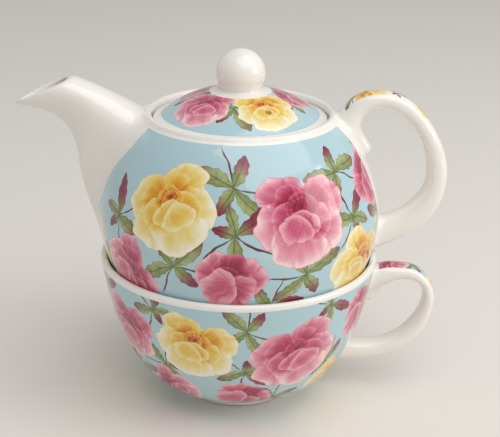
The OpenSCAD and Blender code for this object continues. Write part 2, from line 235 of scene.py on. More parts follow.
class Table:
    """Values worked out on an even grid in a plane, then read between its points."""

    def __init__(self, low, high, pitch, fill, soften=0.0):
        self.low, self.pitch = np.asarray(low, float), pitch
        self.count = np.ceil((np.asarray(high, float) - self.low) / pitch).astype(int) + 1
        u, v = (self.low[k] + pitch * np.arange(self.count[k]) for k in (0, 1))
        grid = np.stack(np.meshgrid(u, v, indexing="ij"), -1).reshape(-1, 2)
        self.data = np.asarray(fill(grid)).reshape(self.count[0], self.count[1], -1)
        if soften:
            reach = int(3 * soften / pitch) + 1
            kernel = np.exp(-0.5 * (np.arange(-reach, reach + 1) * pitch / soften) ** 2)
            for axis in (0, 1):
                pad = [(reach, reach) if k == axis else (0, 0) for k in range(3)]
                wide = np.pad(self.data, pad, mode="edge")
                size = self.count[axis]
                self.data = sum(
                    w * np.take(wide, range(i, i + size), axis=axis)
                    for i, w in enumerate(kernel / kernel.sum()))

    def read(self, u, v):
        a = np.clip((u - self.low[0]) / self.pitch, 0, self.count[0] - 1.001)
        b = np.clip((v - self.low[1]) / self.pitch, 0, self.count[1] - 1.001)
        i, j = a.astype(int), b.astype(int)
        a, b = (a - i)[:, None], (b - j)[:, None]
        d = self.data
        return ((d[i, j] * (1 - a) + d[i + 1, j] * a) * (1 - b)
                + (d[i, j + 1] * (1 - a) + d[i + 1, j + 1] * a) * b).T


class Turned:
    """A shape turned on the axis from half an outline."""

    def __init__(self, half, reach, low_z, high_z, soften=0.3):
        half = stack(half)
        outline = stack(half, half[::-1] * [-1, 1])
        self.table = Table([-2, low_z], [reach, high_z], 0.25, lambda g: outline_distance(g, outline), soften)

    def __call__(self, p):
        return self.table.read(np.hypot(p[:, 0], p[:, 1]), p[:, 2])[0]


def round_size(a, b, power):
    """How far out a point lies in a rounded section, 1 on its edge, and how fast that grows."""
    n = np.maximum((a ** power + b ** power) ** (1 / power), 1e-3)
    return n, (a / n) ** (power - 1), (b / n) ** (power - 1)


class Strap:
    """A rounded strap along a chain of curves in the plane y = 0."""

    def __init__(self, curves, sizes, width):
        points, ways = zip(*(cubic(c, 50) for c in curves))
        self.at, way = np.concatenate(points), np.concatenate(ways)
        self.way = np.stack([-way[:, 1], way[:, 0]], 1)
        x = np.linspace(0, len(sizes) - 1, len(self.at))
        i = np.minimum(x.astype(int), len(sizes) - 2)
        f = x - i
        f = f * f * (3 - 2 * f)
        self.half = (np.asarray(sizes)[i] * (1 - f) + np.asarray(sizes)[i + 1] * f) / 2
        self.run = np.concatenate([[0], np.cumsum(np.linalg.norm(np.diff(self.at, axis=0), axis=1))])
        self.width = width / 2
        self.low, self.high = self.at.min(0) - 14, self.at.max(0) + 14
        self.table = Table(self.low, self.high, 0.5, self.fill)

    def fill(self, grid):
        rows = []
        for part in np.array_split(grid, max(1, len(grid) // 4000)):
            gap = part[:, None, :] - self.at[None]
            k = (gap ** 2).sum(-1).argmin(1)
            near = gap[np.arange(len(part)), k]
            side = np.sign((near * self.way[k]).sum(-1))
            rows.append(np.stack([side * np.linalg.norm(near, axis=1), self.half[k], self.run[k]], 1))
        return np.concatenate(rows)

    def place(self, p):
        """Offset to the outer side, half thickness and length along the strap."""
        return self.table.read(p[:, 0], p[:, 2])

    def __call__(self, p):
        off, half, run = self.place(p)
        n, da, db = round_size(np.abs(off) / half, np.abs(p[:, 1]) / self.width, 2.4)
        return (n - 1) / np.sqrt((da / half) ** 2 + (db / self.width) ** 2)


class Finger:
    """A round finger along one curve in the plane y = 0, from radius r0 to r1, with a round end."""

    def __init__(self, curve, r0, r1):
        self.at = cubic(curve, 40)[0]
        self.r = np.linspace(r0, r1, 40)

    def __call__(self, p):
        flat = (p[:, None, ::2] - self.at[None]) ** 2
        return (np.sqrt(flat.sum(-1) + p[:, 1:2] ** 2) - self.r).min(1)


class Spout:
    """A loft between a lower and an upper edge, both in the plane y = 0; nothing of it lies before start."""

    def __init__(self, low_curves, high_curve, wide, low, high, lift=0.0, start=0.0):
        self.start = start
        s = np.linspace(0, 1, 481)
        first, second = (cubic(c, 241)[0] for c in low_curves)
        self.under = np.concatenate([first, second[1:]])
        self.over = cubic(high_curve, 481)[0]
        self.s, self.wide = s, wide(s)
        self.under = self.under + (lift * (1 - s))[:, None] * (self.over - self.under)
        middle = (self.under + self.over) / 2
        self.length = np.linalg.norm(np.diff(middle, axis=0), axis=1).sum()
        self.table = Table(low, high, 0.5, self.fill)

    def fill(self, grid):
        mid = (self.under + self.over) / 2
        span = self.over - self.under
        reach = np.linalg.norm(span, axis=1) / 2
        up = span / (2 * reach[:, None])
        rows = []
        for part in np.array_split(grid, max(1, len(grid) // 3000)):
            gap = part[:, None, :] - mid[None]
            across = np.abs(gap[..., 0] * up[:, 1] - gap[..., 1] * up[:, 0])
            along = (gap * up[None]).sum(-1)
            k = (across + 0.02 * np.abs(along)).argmin(1)
            rows.append(np.stack([along[np.arange(len(part)), k], reach[k], self.wide[k], self.s[k]], 1))
        return np.concatenate(rows)

    def __call__(self, p, wall=0.0):
        along, reach, wide, s = self.table.read(p[:, 0], p[:, 2])
        reach, wide = reach - wall, wide - wall
        h = along / reach
        wide = wide * np.maximum(1 + (0.85 - 0.65 * s) * np.clip(h, -1, 1), 0.1)
        power = 2 / (0.74 + 0.26 * s)
        n, da, db = round_size(np.abs(h), np.abs(p[:, 1]) / wide, power)
        d = (n - 1) / np.sqrt((da / reach) ** 2 + (db / wide) ** 2)
        return np.maximum(d, (self.start - s) * self.length) if self.start else d


# From distances to meshes

def slope(field, p, reach=0.3):
    """The direction in which a distance grows."""
    g = np.empty_like(p)
    for k in range(3):
        step = np.zeros(3)
        step[k] = reach
        g[:, k] = (field(p + step) - field(p - step)) / (2 * reach)
    return g


def in_parts(field, p, size=200000):
    return np.concatenate([field(part) for part in np.array_split(p, max(1, len(p) // size))])


def net(field, low, high, pitch):
    """A closed mesh of quads near the zero level of a distance, with a point in each cell it crosses."""
    low, high = np.asarray(low, float), np.asarray(high, float)
    count = np.ceil((high - low) / pitch).astype(int) + 1
    axes = [low[k] + pitch * np.arange(count[k]) for k in range(3)]
    grid = np.stack(np.meshgrid(*axes, indexing="ij"), -1).reshape(-1, 3)
    value = in_parts(field, grid).reshape(count)
    inside = value < 0
    filled = sum(
        inside[i:count[0] - 1 + i, j:count[1] - 1 + j, k:count[2] - 1 + k].astype(int)
        for i in (0, 1) for j in (0, 1) for k in (0, 1))
    active = (filled > 0) & (filled < 8)
    cells = np.argwhere(active)
    number = np.zeros(active.shape, int)
    number[active] = np.arange(len(cells))
    total, hits = np.zeros((len(cells), 3)), np.zeros(len(cells))
    quads = []
    for axis in range(3):
        unit, one, two = (np.eye(3, dtype=int)[(axis + k) % 3] for k in range(3))
        for i in (0, 1):
            for j in (0, 1):
                a = cells + i * one + j * two
                va, vb = value[tuple(a.T)], value[tuple((a + unit).T)]
                hit = (va < 0) != (vb < 0)
                share = va[hit] / (va[hit] - vb[hit])
                total[hit] += a[hit] + share[:, None] * unit
                hits[hit] += 1
        first = [slice(0, count[k] - 1) if k == axis else slice(1, count[k] - 1) for k in range(3)]
        second = [slice(1, count[k]) if k == axis else slice(1, count[k] - 1) for k in range(3)]
        at = np.argwhere(inside[tuple(first)] != inside[tuple(second)]) + (1 - unit)
        ring = [number[tuple((at - i * one - j * two).T)] for i, j in ((1, 1), (0, 1), (0, 0), (1, 0))]
        ring = np.stack(ring, 1)
        out = inside[tuple(at.T)]
        quads.append(np.where(out[:, None], ring, ring[:, ::-1]))
    return low + pitch * total / hits[:, None], np.concatenate(quads)


def settle(field, points, most, times=2):
    """Points moved onto the zero level, by no more than most at a time, and the normals there."""
    for _ in range(times):
        g = in_parts(lambda p: slope(field, p), points)
        move = (in_parts(field, points) / np.maximum((g ** 2).sum(1), 0.3))[:, None] * g
        points = points - np.clip(move, -most, most)
    g = in_parts(lambda p: slope(field, p), points)
    return points, g / np.linalg.norm(g, axis=1)[:, None]


def read(items, key, width=1, kind=np.float32):
    values = np.empty(len(items) * width, kind)
    items.foreach_get(key, values)
    return values.reshape(-1, width) if width > 1 else values


def thin_out(points, quads, most):
    """The same surface in at most a number of triangles, which stay small where it bends."""
    mesh = bpy.data.meshes.new("dense")
    mesh.from_pydata(points.tolist(), [], quads.tolist())
    dense = bpy.data.objects.new("dense", mesh)
    bpy.context.scene.collection.objects.link(dense)
    fewer = dense.modifiers.new("fewer", "DECIMATE")
    fewer.ratio = min(1.0, most / (2 * len(quads)))
    dense.modifiers.new("triangles", "TRIANGULATE")
    thin = bpy.data.meshes.new_from_object(dense.evaluated_get(bpy.context.evaluated_depsgraph_get()))
    points = read(thin.vertices, "co", 3).astype(float)
    faces = read(thin.loops, "vertex_index", kind=np.int32).reshape(-1, 3)
    bpy.data.objects.remove(dense)
    for used in (mesh, thin):
        bpy.data.meshes.remove(used)
    return points, faces


def shell(field, low, high, pitch, most):
    """Points, triangles and normals of the surface of a field."""
    pitch = pitch * 1.0
    points, quads = net(field, low, high, pitch)
    points, normals = settle(field, points, 0.5 * pitch)
    points, faces = thin_out(points, quads, most)
    points, normals = settle(field, points, 2 * pitch)
    return points, faces, normals


# The forms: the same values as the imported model

def in_mm(sizes, *angles):
    """The lengths of a group of settings in millimetres, and its angles and counts as they are."""
    values = {key: getattr(sizes, key) for key in type(sizes).__annotations__}
    return SimpleNamespace(**{
        key: value if key in angles or isinstance(value, int) else value / MM
        for key, value in values.items()})


def cup_form(cup):
    f = in_mm(cup, "flare")
    f.r = f.rim_d / 2
    f.lip_r = f.wall / 2
    f.foot_r = f.foot_d / 2
    f.hollow_z = 0.78 * f.foot_h
    f.floor_z = f.hollow_z + f.floor_t
    f.lip = xz(f.r - f.lip_r, f.height - f.lip_r)
    end = f.lip + f.lip_r * polar(-f.flare)
    f.curve = [
        [f.foot_r, f.foot_h],
        [f.foot_r + 0.59 * (f.r - f.foot_r), f.foot_h + 0.04 * (f.height - f.foot_h)],
        end - 0.58 * (f.height - f.foot_h) * polar(math.pi / 2 - f.flare),
        end]
    rim, reach = xz(f.r, f.height), f.handle_reach
    top = rim + reach * xz(0.477, -0.371)
    side = rim + reach * xz(0.902, -0.826)
    low = xz(0.941 * f.r, 0.26 * f.height)
    f.handle_line = [
        [rim - reach * xz(0.246, 0.553), top - reach * xz(0.455, 0.072),
         top - reach * xz(0.227, -0.008), top],
        [top, top + reach * xz(0.265, -0.008), side + [0, 0.246 * reach], side],
        [side, side - [0, 0.417 * reach], low + reach * xz(0.682, 0.015), low],
        [low - f.r * np.array(v) for v in ([0, 0], [0.101, 0.002], [0.202, 0.007], [0.303, 0.017])]]
    f.kick_line = [rim + reach * np.array(v) for v in (
        [0.133, -0.473], [0.076, -0.568], [0.008, -0.674], [-0.072, -0.826])]
    f.handle_sizes = f.handle_t * np.array([2.1, 1.75, 1.25, 0.95, 1.02, 1.5, 1.72, 1.85, 1.9])
    return f


def teapot_form(pot, cup):
    f = in_mm(pot, "shoulder_slope", "seat_slope", "spout_cut")
    f.belly_r = cup.r - f.belly_inset
    f.belly_z = cup.height + f.belly_rise
    f.shoulder_r = f.lip_d / 2
    f.shoulder_z = cup.height + f.shoulder_rise
    f.foot_r = f.foot_d / 2
    f.z = cup.height - f.nest_depth
    f.hollow_h = 0.85 * f.foot_h
    f.floor_z = f.z + f.hollow_h + 1.4 * f.wall
    f.lip_r = f.lip_w / 2
    f.lip_top = f.shoulder_z + f.lip_r
    f.lip_at = xz(f.shoulder_r - f.lip_r, f.shoulder_z)
    f.recess_r = f.shoulder_r - f.lip_w
    f.ledge_z = f.lip_top - f.ledge_depth
    f.mouth_r = f.mouth_d / 2
    seat = cup.lip + (cup.lip_r + f.seat_gap) * polar(math.pi - f.seat_slope)
    way = polar(math.pi / 2 - f.seat_slope)
    f.nest_curve = [
        [f.foot_r, f.z + f.foot_h],
        [f.foot_r + 0.55 * (seat[0] - f.foot_r), f.z + f.foot_h + 0.067 * f.nest_depth],
        seat - 0.42 * f.nest_depth * way,
        seat]
    f.waist_curve = [
        seat,
        seat + 0.33 * (f.belly_z - seat[1]) * way,
        [f.belly_r, f.belly_z - 0.4 * (f.belly_z - seat[1])],
        [f.belly_r, f.belly_z]]
    shoulder = xz(f.shoulder_r, f.shoulder_z)
    f.shoulder_curve = [
        [f.belly_r, f.belly_z],
        [f.belly_r, f.belly_z + 0.27 * (f.shoulder_z - f.belly_z)],
        shoulder + 0.67 * (f.belly_r - f.shoulder_r) * polar(-f.shoulder_slope),
        shoulder]
    reach = f.handle_reach
    top = xz(f.belly_r, f.shoulder_z) + reach * xz(-0.047, 0.265)
    side = xz(f.belly_r, f.shoulder_z) + reach * xz(0.853, -0.914)
    low = xz(f.belly_r, f.belly_z) - reach * xz(0.2, 0.4)
    f.handle_line = [
        [top - reach * xz(0.52, 0.81), top - reach * xz(0.548, 0.237),
         top - [0.323 * reach, 0], top],
        [top, top + [0.466 * reach, 0], side + [0, 0.556 * reach], side],
        [side, side - reach * xz(0.007, 0.556), low + reach * xz(0.573, 0.143), low]]
    f.kick_line = [top - reach * np.array(v) for v in (
        [0.448, 0.287], [0.48, 0.448], [0.34, 0.624], [0.219, 0.763])]
    f.handle_sizes = f.handle_t * np.array([1.5, 1.27, 1, 1.03, 1.29, 1.65, 1.95])
    reach = f.spout_reach
    f.tip = xz(-f.belly_r - reach, f.shoulder_z + f.spout_tip_rise)
    throat = f.tip + reach * xz(0.74, -0.734)
    belly = xz(-f.belly_r, f.belly_z)
    neck = xz(-f.shoulder_r, f.shoulder_z)
    f.spout_low = [
        [belly + reach * xz(0.162, -0.566), belly - reach * xz(0.092, 0.199),
         throat + reach * xz(0.024, -0.327), throat],
        [throat, throat + reach * xz(-0.063, 0.83), f.tip - reach * xz(0.057, 0.159),
         f.tip - reach * xz(0.027, 0.008)]]
    f.spout_high = [
        neck + reach * xz(0.306, -0.138), neck + reach * xz(-0.202, 0.153),
        f.tip + reach * xz(0.902, 0.306), f.tip + reach * xz(0.275, 0.443)]
    return f


def lid_form(lid, pot):
    f = in_mm(lid)
    f.r = pot.recess_r - f.gap
    f.seat_z = pot.ledge_z
    f.collar_r = pot.mouth_r - f.collar_gap
    f.dome_edge_r = f.r - f.border
    f.dome_z = f.seat_z + 1.7 * f.edge_t - math.sqrt(f.dome_r ** 2 - f.dome_edge_r ** 2)
    f.knob_r = f.knob_d / 2
    f.knob_z = f.dome_z + f.dome_r + f.knob_rise - f.knob_r
    f.ledge_t = pot.ledge_t
    return f


def lip_side(centre, r, start):
    """The outer part of a round lip, then straight up: it ends inside the line where lip_crest goes up."""
    return stack(arc(centre, r, start, math.radians(65), 12), [[centre[0] + 0.42 * r, centre[1] + PAST]])


def lip_crest(centre, r, start):
    """The inner part of a round lip and its top, then straight up."""
    return stack(arc(centre, r, start, math.radians(30), 24), [[centre[0] + 0.87 * r, centre[1] + PAST]])


def foot_hollow(z, r, depth, *room):
    """The hollow inside a foot ring that stands at height z."""
    return Turned([[0, z - PAST], [r, z - PAST], [r, z], [r - 1.6, z + depth], [0, z + depth]], *room, 0.5)


def cup_field(f):
    """Distances of the cup and of its handle."""
    room = f.r + 12, -6, f.height + 8
    outside = Turned(stack(
        [[0, 0], [f.foot_r - 0.8, 0], [f.foot_r, 0.8]], beside(f.curve, count=120)[:-1],
        lip_side(f.lip, f.lip_r, -f.flare), [[0, f.height + PAST]]), *room)
    air = Turned(stack(
        [[0, f.floor_z]], beside(f.curve, f.floor_z - f.foot_h, f.wall, 120),
        lip_crest(f.lip, f.lip_r, math.pi - f.flare), [[0, f.height + PAST]]), *room)
    hollow = foot_hollow(0, f.foot_r - f.foot_land, f.hollow_z, *room)
    handle = Strap(f.handle_line, f.handle_sizes, f.handle_w)
    kick = Finger(f.kick_line, 0.72 * f.handle_t, 0.46 * f.handle_t)

    def grip(p):
        return soft_min(handle(p), kick(p), 2.2)

    def field(p):
        clay = soft_min(outside(p), grip(p), 2.6)
        return np.maximum(np.maximum(clay, -air(p)), -hollow(p))

    return SimpleNamespace(field=field, outside=outside, handle=handle, grip=grip, form=f)


def teapot_field(f):
    """Distances of the teapot and of its handle."""
    room = f.belly_r + 34, f.z - 8, f.lip_top + 22
    outside = Turned(stack(
        [[0, f.z], [f.foot_r - 0.8, f.z], [f.foot_r, f.z + 0.8]], beside(f.nest_curve, count=60)[:-1],
        beside(f.waist_curve, count=40)[:-1], beside(f.shoulder_curve, count=90)[:-1],
        lip_side(f.lip_at, f.lip_r, 0), [[0, f.shoulder_z + PAST]]), *room)
    air = Turned(stack(
        [[0, f.floor_z]], beside(f.nest_curve, f.floor_z - f.nest_curve[0][1], f.wall, 60),
        beside(f.waist_curve, f.wall, f.wall, 40)[1:],
        beside(f.shoulder_curve, f.wall, f.wall, 90, 0.8)[1:],
        [[f.mouth_r, f.ledge_z - f.ledge_t], [f.mouth_r, f.ledge_z], [f.recess_r, f.ledge_z]],
        lip_crest(f.lip_at, f.lip_r, math.pi), [[0, f.shoulder_z + PAST]]), *room)
    hollow = foot_hollow(f.z, f.foot_r - FOOT_LAND, f.hollow_h, *room)
    handle = Strap(f.handle_line, f.handle_sizes, f.handle_w)
    kick = Finger(f.kick_line, 0.735 * f.handle_t, 0.46 * f.handle_t)
    spout, channel = (Spout(
        f.spout_low, f.spout_high,
        lambda s: f.spout_mouth_w + (f.spout_root_w - f.spout_mouth_w) * (1 - s) ** 1.5,
        [f.tip[0] - 12, f.z + 8], [-24, f.lip_top + 22], lift, start)
        for lift, start in ((0.0, 0.0), (0.1, 0.2)))
    run = 0.92 * f.spout_reach
    along = polar(f.spout_cut)
    away = np.array([-along[1], along[0]])
    curve, ways = cubic(f.shoulder_curve, 101)
    inwards = np.array([-ways[52][1], ways[52][0]])
    x, z = curve[52] + f.wall / 2 * inwards
    axis = np.array([-inwards[0], 0, inwards[1]])
    centre = np.array([-x, 0, z])
    side = np.cross(axis, [0, 1, 0])

    def mouth(p):
        """How far a point lies above the spout's slanted mouth."""
        d = p[:, ::2] - f.tip
        t = np.clip(d @ along / run, 0, 1)
        return d @ away - 0.06 * f.spout_reach * t * (1 - t)

    def strainer(p):
        d = p - centre
        u, v, w = d @ side, d[:, 1], np.abs(d @ axis)
        spots = [(0.0, 0.0)] + [f.strainer_pitch * polar(math.pi / 3 * i) for i in range(6)]
        holes = np.min([np.hypot(u - a, v - b) for a, b in spots], axis=0) - f.strainer_d / 2
        return np.maximum(holes, w - 1.5 * f.wall)

    def grip(p):
        return soft_min(handle(p), kick(p), 2.6)

    def pouring(p):
        return soft_max(spout(p), mouth(p), 1.2)

    def field(p):
        body = outside(p)
        clay = np.array(body)
        right = p[:, 0] > 30
        left = (p[:, 0] < -24) & (p[:, 2] > f.z + 10)
        q = p[right]
        clay[right] = soft_min(soft_min(body[right], handle(q), 3.4), kick(q), 1.5)
        q = p[left]
        clay[left] = soft_min(body[left], pouring(q), 4.5)
        clay = np.maximum(np.maximum(clay, -air(p)), -hollow(p))
        cut = soft_min(np.maximum(channel(q, f.spout_wall), -body[left]), strainer(q), 0.8)
        clay[left] = soft_max(clay[left], -cut, 1.0)
        return clay

    return SimpleNamespace(field=field, outside=outside, handle=handle, grip=grip, form=f)


def eased(points, r):
    """A chain of points with each sharp corner replaced by a short curve of about radius r."""
    points = stack(points)
    result = [points[0]]
    for before, corner, after in zip(points, points[1:], points[2:]):
        one, two = before - corner, after - corner
        a, b = np.linalg.norm(one), np.linalg.norm(two)
        if (one @ two) / (a * b) < -0.9:
            result.append(corner)
            continue
        ends = corner + one * min(r / a, 0.45), corner, corner + two * min(r / b, 0.45)
        result.extend(
            (1 - t) ** 2 * ends[0] + 2 * t * (1 - t) * ends[1] + t * t * ends[2]
            for t in np.linspace(0, 1, 6))
    return np.array(result + [points[-1]])


def lid_profile(f):
    """The lid's outline from the top of the knob to under the dome, and where the nib stands out of it."""
    neck_r = f.knob_r - 1.6
    inner_r = f.collar_r - f.collar_t
    under_r = f.dome_r - f.wall
    a0 = math.acos(f.dome_edge_r / f.dome_r)
    a1 = math.acos((neck_r + f.knob_fillet) / f.dome_r)
    dome, knob = xz(0, f.dome_z), xz(0, f.knob_z)
    dome_end = dome + f.dome_r * polar(a1)
    knob_a = -math.acos(neck_r / f.knob_r)
    knob_start = knob + f.knob_r * polar(knob_a)
    low, edge_top = f.seat_z - f.collar_depth, f.seat_z + f.edge_t
    half = eased(stack(
        arc(knob, f.knob_r, math.pi / 2, knob_a, 48),
        beside([knob_start, knob_start - 0.4 * f.knob_fillet * polar(math.pi / 2 + knob_a),
                dome_end + 0.5 * f.knob_fillet * polar(math.pi / 2 + a1), dome_end], count=16)[1:-1],
        arc(dome, f.dome_r, a1, a0, 48),
        [[f.r, edge_top], [f.r, f.seat_z], [f.collar_r, f.seat_z], [f.collar_r, low], [inner_r, low]],
        arc(dome, under_r, math.acos(inner_r / under_r), math.pi / 2, 32)), 0.6)
    gaps = np.linalg.norm(np.diff(half, axis=0), axis=1)
    run = np.concatenate([[0], np.cumsum(gaps)])
    fine = np.unique(np.concatenate(
        [run, *(np.linspace(a, a + g, int(g / 0.45) + 1) for a, g in zip(run, gaps))]))
    half = np.stack([np.interp(fine, run, half[:, k]) for k in (0, 1)], 1)
    half[[0, -1], 0] = 0
    nib_top = f.seat_z - f.ledge_t - 1.4
    depth = np.minimum(nib_top - half[:, 1], half[:, 1] - nib_top + NIB_HEIGHT)
    share = np.where(half[:, 0] > f.collar_r - 0.1, np.clip(depth / 0.5, 0, 1), 0)
    return half, share


def turned_lid_tree():
    """A profile turned round the Z axis, with a nib that stands out on the +X side and a vent cut through."""
    tree, f, give = new_group("Turned lid", [
        ("Profile", "geometry"), ("Segments", "count"), ("Nib reach", "value"), ("Nib width", "value"),
        ("Vent place", "vector"), ("Vent radius", "value"), ("Material", "material")],
        [("Lid", "geometry")], "GeometryNodeTree")

    def add(kind, values=(), **settings):
        node = tree.nodes.new("GeometryNode" + kind)
        for key, value in settings.items():
            setattr(node, key, value)
        for label, value in dict(values).items():
            connect(tree, value, node.inputs[label])
        return node

    profile = f["Profile"]
    size = add("AttributeDomainSize", {"Geometry": profile}, component="MESH")
    rings = f["Segments"] + 1
    grid = add("MeshGrid", {"Vertices X": Field(tree, size.outputs["Point Count"]), "Vertices Y": rings})
    index = Field(tree, add("InputIndex").outputs[0])
    row = (index / rings + 0.001).math("FLOOR")
    angle = (index - row * rings) / f["Segments"] * (2 * math.pi)
    here = add("InputPosition").outputs[0]
    place = add("SampleIndex", {"Geometry": profile, "Index": row, "Value": here}, data_type="FLOAT_VECTOR")
    mark = add("InputNamedAttribute", {"Name": "Nib share"}, data_type="FLOAT")
    share = add("SampleIndex", {"Geometry": profile, "Index": row, "Value": mark.outputs["Attribute"]})
    split = tree.nodes.new("ShaderNodeSeparateXYZ")
    connect(tree, place.outputs["Value"], split.inputs[0])
    r, z = Field(tree, split.outputs[0]), Field(tree, split.outputs[2])
    beyond = (r * angle.sin()).abs() - f["Nib width"] * 0.5
    window = beyond.step(0.0004, -0.0004) * (angle.cos() * 1000).min(1.0).max(0.0)
    r = r + Field(tree, share.outputs["Value"]) * window * f["Nib reach"]
    moved = add("SetPosition", {
        "Geometry": grid.outputs["Mesh"], "Position": join(tree, r * angle.cos(), r * angle.sin(), z)})
    closed = add("MergeByDistance", {"Geometry": moved.outputs[0], "Distance": 2e-6})
    drill = add("MeshCylinder", {"Vertices": 32, "Radius": f["Vent radius"], "Depth": 0.02})
    drill = add("Transform", {"Geometry": drill.outputs["Mesh"], "Translation": f["Vent place"]})
    vented = add(
        "MeshBoolean", {"Mesh 1": closed.outputs[0], "Mesh 2": drill.outputs[0]},
        operation="DIFFERENCE", solver="MANIFOLD")
    smooth = add("SetShadeSmooth", {"Geometry": vented.outputs[0]})
    real = add("RealizeInstances", {"Geometry": smooth.outputs[0]})
    done = add("SetMaterial", {"Geometry": real.outputs[0], "Material": f["Material"]})
    give("Lid", done.outputs[0])
    return tree


def run_nodes(piece, tree, values):
    """Puts the result of a geometry tree in place of a piece's mesh."""
    nodes = piece.modifiers.new(tree.name, "NODES")
    nodes.node_group = tree
    for label, value in values.items():
        nodes[tree.interface.items_tree[label].identifier] = value
    result = bpy.data.meshes.new_from_object(piece.evaluated_get(bpy.context.evaluated_depsgraph_get()))
    piece.modifiers.remove(nodes)
    old, piece.data = piece.data, result
    bpy.data.meshes.remove(old)


# The print: where each flower and each spray of leaves lies

PINK_ROSE, GOLD_ROSE, HALF = 0, 1, 2
TEAPOT_FLOWERS = [
    # azimuth and turn in degrees, height and size in millimetres
    (-64, 98, 21, 8, PINK_ROSE), (-118, 101, 20, -25, GOLD_ROSE), (-93, 73, 16, 12, HALF),
    (-33, 72, 18, 30, GOLD_ROSE), (-139, 70, 16.5, 60, PINK_ROSE), (-15, 104, 15.5, -40, HALF),
    (20, 102, 17, 40, GOLD_ROSE), (3, 71, 17, 20, PINK_ROSE), (45, 74, 19, -15, PINK_ROSE),
    (64, 107, 16, 15, HALF), (84, 73, 18, -50, GOLD_ROSE), (108, 103, 20, 20, PINK_ROSE),
    (128, 71, 15.5, 40, HALF), (151, 102, 15.5, 10, GOLD_ROSE), (162, 73, 14.5, -30, PINK_ROSE),
    (-170, 73, 13, -10, GOLD_ROSE)]
TEAPOT_SPRAYS = [
    (-92, 113, 17, 10, 0), (-42, 115, 16, 200, 0), (-91, 93, 17, 75, 1), (-63, 76, 17, -10, 0),
    (-115, 79, 16, 120, 0), (-38, 93, 16, 20, 1), (-145, 92, 16, 10, 1), (-14, 88, 16, -60, 0),
    (-8, 117, 13, 40, 1), (24, 82, 16, 20, 1), (42, 108, 17, 90, 0), (64, 90, 16, 10, 1),
    (86, 96, 17, 160, 0), (106, 80, 16, 30, 1), (132, 92, 16, 75, 0), (150, 82, 15, 0, 1),
    (66, 66, 13, 0, 0), (-76, 62, 13, 60, 1), (-154, 64, 13, 60, 0), (-16, 63, 12, 0, 1)]
CUP_FLOWERS = [
    (-108, 42, 18, 20, GOLD_ROSE), (-63, 37, 20, -20, PINK_ROSE), (-88, 14, 13.5, 40, HALF),
    (-145, 41, 17, 20, PINK_ROSE), (-27, 46, 15, 10, HALF), (-125, 16, 13.5, -60, PINK_ROSE),
    (-35, 16, 13.5, 30, GOLD_ROSE), (-176, 46, 14.5, -30, HALF), (155, 35, 17, 60, GOLD_ROSE),
    (120, 43, 17.5, 10, PINK_ROSE), (84, 38, 17.5, -40, GOLD_ROSE), (50, 44, 15.5, 30, HALF),
    (23, 30, 15, 40, PINK_ROSE), (-5, 21, 12.5, 10, GOLD_ROSE), (102, 14, 13.5, 50, HALF),
    (60, 16, 13.5, -50, PINK_ROSE), (-168, 17, 13, 60, GOLD_ROSE), (138, 13, 11.5, 0, PINK_ROSE)]
CUP_SPRAYS = [
    (-86, 52, 14, 30, 0), (-125, 57, 13, 0, 1), (-86, 31, 14, 150, 1), (-50, 59, 13, 90, 1),
    (-44, 29, 14, 30, 0), (-124, 30, 14, 60, 1), (-12, 40, 14, -20, 1), (-148, 20, 14, 0, 0),
    (-160, 57, 13, 100, 1), (12, 50, 13, 60, 0), (34, 56, 13, 10, 1), (68, 56, 13, -30, 0),
    (102, 57, 13, 50, 1), (101, 30, 14, 20, 0), (139, 55, 13, 0, 1), (138, 28, 13, 90, 1),
    (176, 29, 14, 40, 0), (65, 27, 14, 110, 1), (38, 20, 13, 0, 0), (-68, 13, 13, 80, 0)]
TEAPOT_GRIP_FLOWERS = [
    # radius and height in millimetres, size, turn and kind
    ((54, 134), 9, 10, GOLD_ROSE), ((76, 127), 5.5, 80, GOLD_ROSE)]
TEAPOT_GRIP_SPRAYS = [((48, 130), 7, 20, 0), ((64, 135), 5.5, 150, 1)]
CUP_GRIP_FLOWERS = [
    ((67, 57), 8, 20, PINK_ROSE), ((83, 47), 7.5, 60, GOLD_ROSE), ((83, 33), 7.5, -20, PINK_ROSE)]
CUP_GRIP_SPRAYS = [((75, 55), 7.5, 20, 0), ((85.5, 39), 7, 90, 1), ((76, 25), 7.5, 0, 1)]
LID_FLOWERS = [
    # azimuth, distance from the axis, size, turn and kind
    (-60, 22.5, 13.5, 10, GOLD_ROSE), (-134, 23, 13, -20, PINK_ROSE), (156, 23, 11.5, 30, HALF),
    (76, 22.5, 13, 10, PINK_ROSE), (6, 23.5, 11.5, -30, HALF)]
LID_SPRAYS = [
    (-97, 22, 14, 20, 0), (-24, 22, 13, 80, 1), (-168, 22, 12, 0, 0), (38, 22, 13, 50, 1),
    (128, 23, 12, 90, 1), (104, 21, 12, 10, 0)]


# Where the print ends, in millimetres: the white below the lip, above the foot or seat and on each side of
# the handle, then the half width of the handle's own band and the part of its run, from x on, that it covers
CUP_MARGINS = SimpleNamespace(lip=2.6, foot=0.8, handle=8.5, band=3.6, start=9, end=78, x=50)
TEAPOT_MARGINS = SimpleNamespace(lip=0.9, foot=11, handle=12.5, band=3.9, start=14, end=62, x=40)
# Height, and half the width of the white round the spout's root there
SPOUT_BAY = [(60, 0), (66, 2.5), (76, 4.5), (85, 6.2), (91, 9.8), (96, 12), (100, 12.9), (106, 15.2),
             (111, 18), (116, 20), (122, 19.6), (127, 17)]
KNOB_WHITE = 12.8  # radius of the white round the lid's knob
NO_EDGE = 9  # a margin that is never the nearest


def settle_on(field, azimuth, rz):
    """The point of a surface near a given azimuth, radius and height, and the normal there."""
    a = math.radians(azimuth)
    p = np.array([[rz[0] * math.cos(a), rz[0] * math.sin(a), rz[1]]])
    for _ in range(6):
        g = slope(field, p)
        p = p - (field(p) / (g ** 2).sum(1))[:, None] * g
    g = slope(field, p)[0]
    return p[0], g / np.linalg.norm(g)


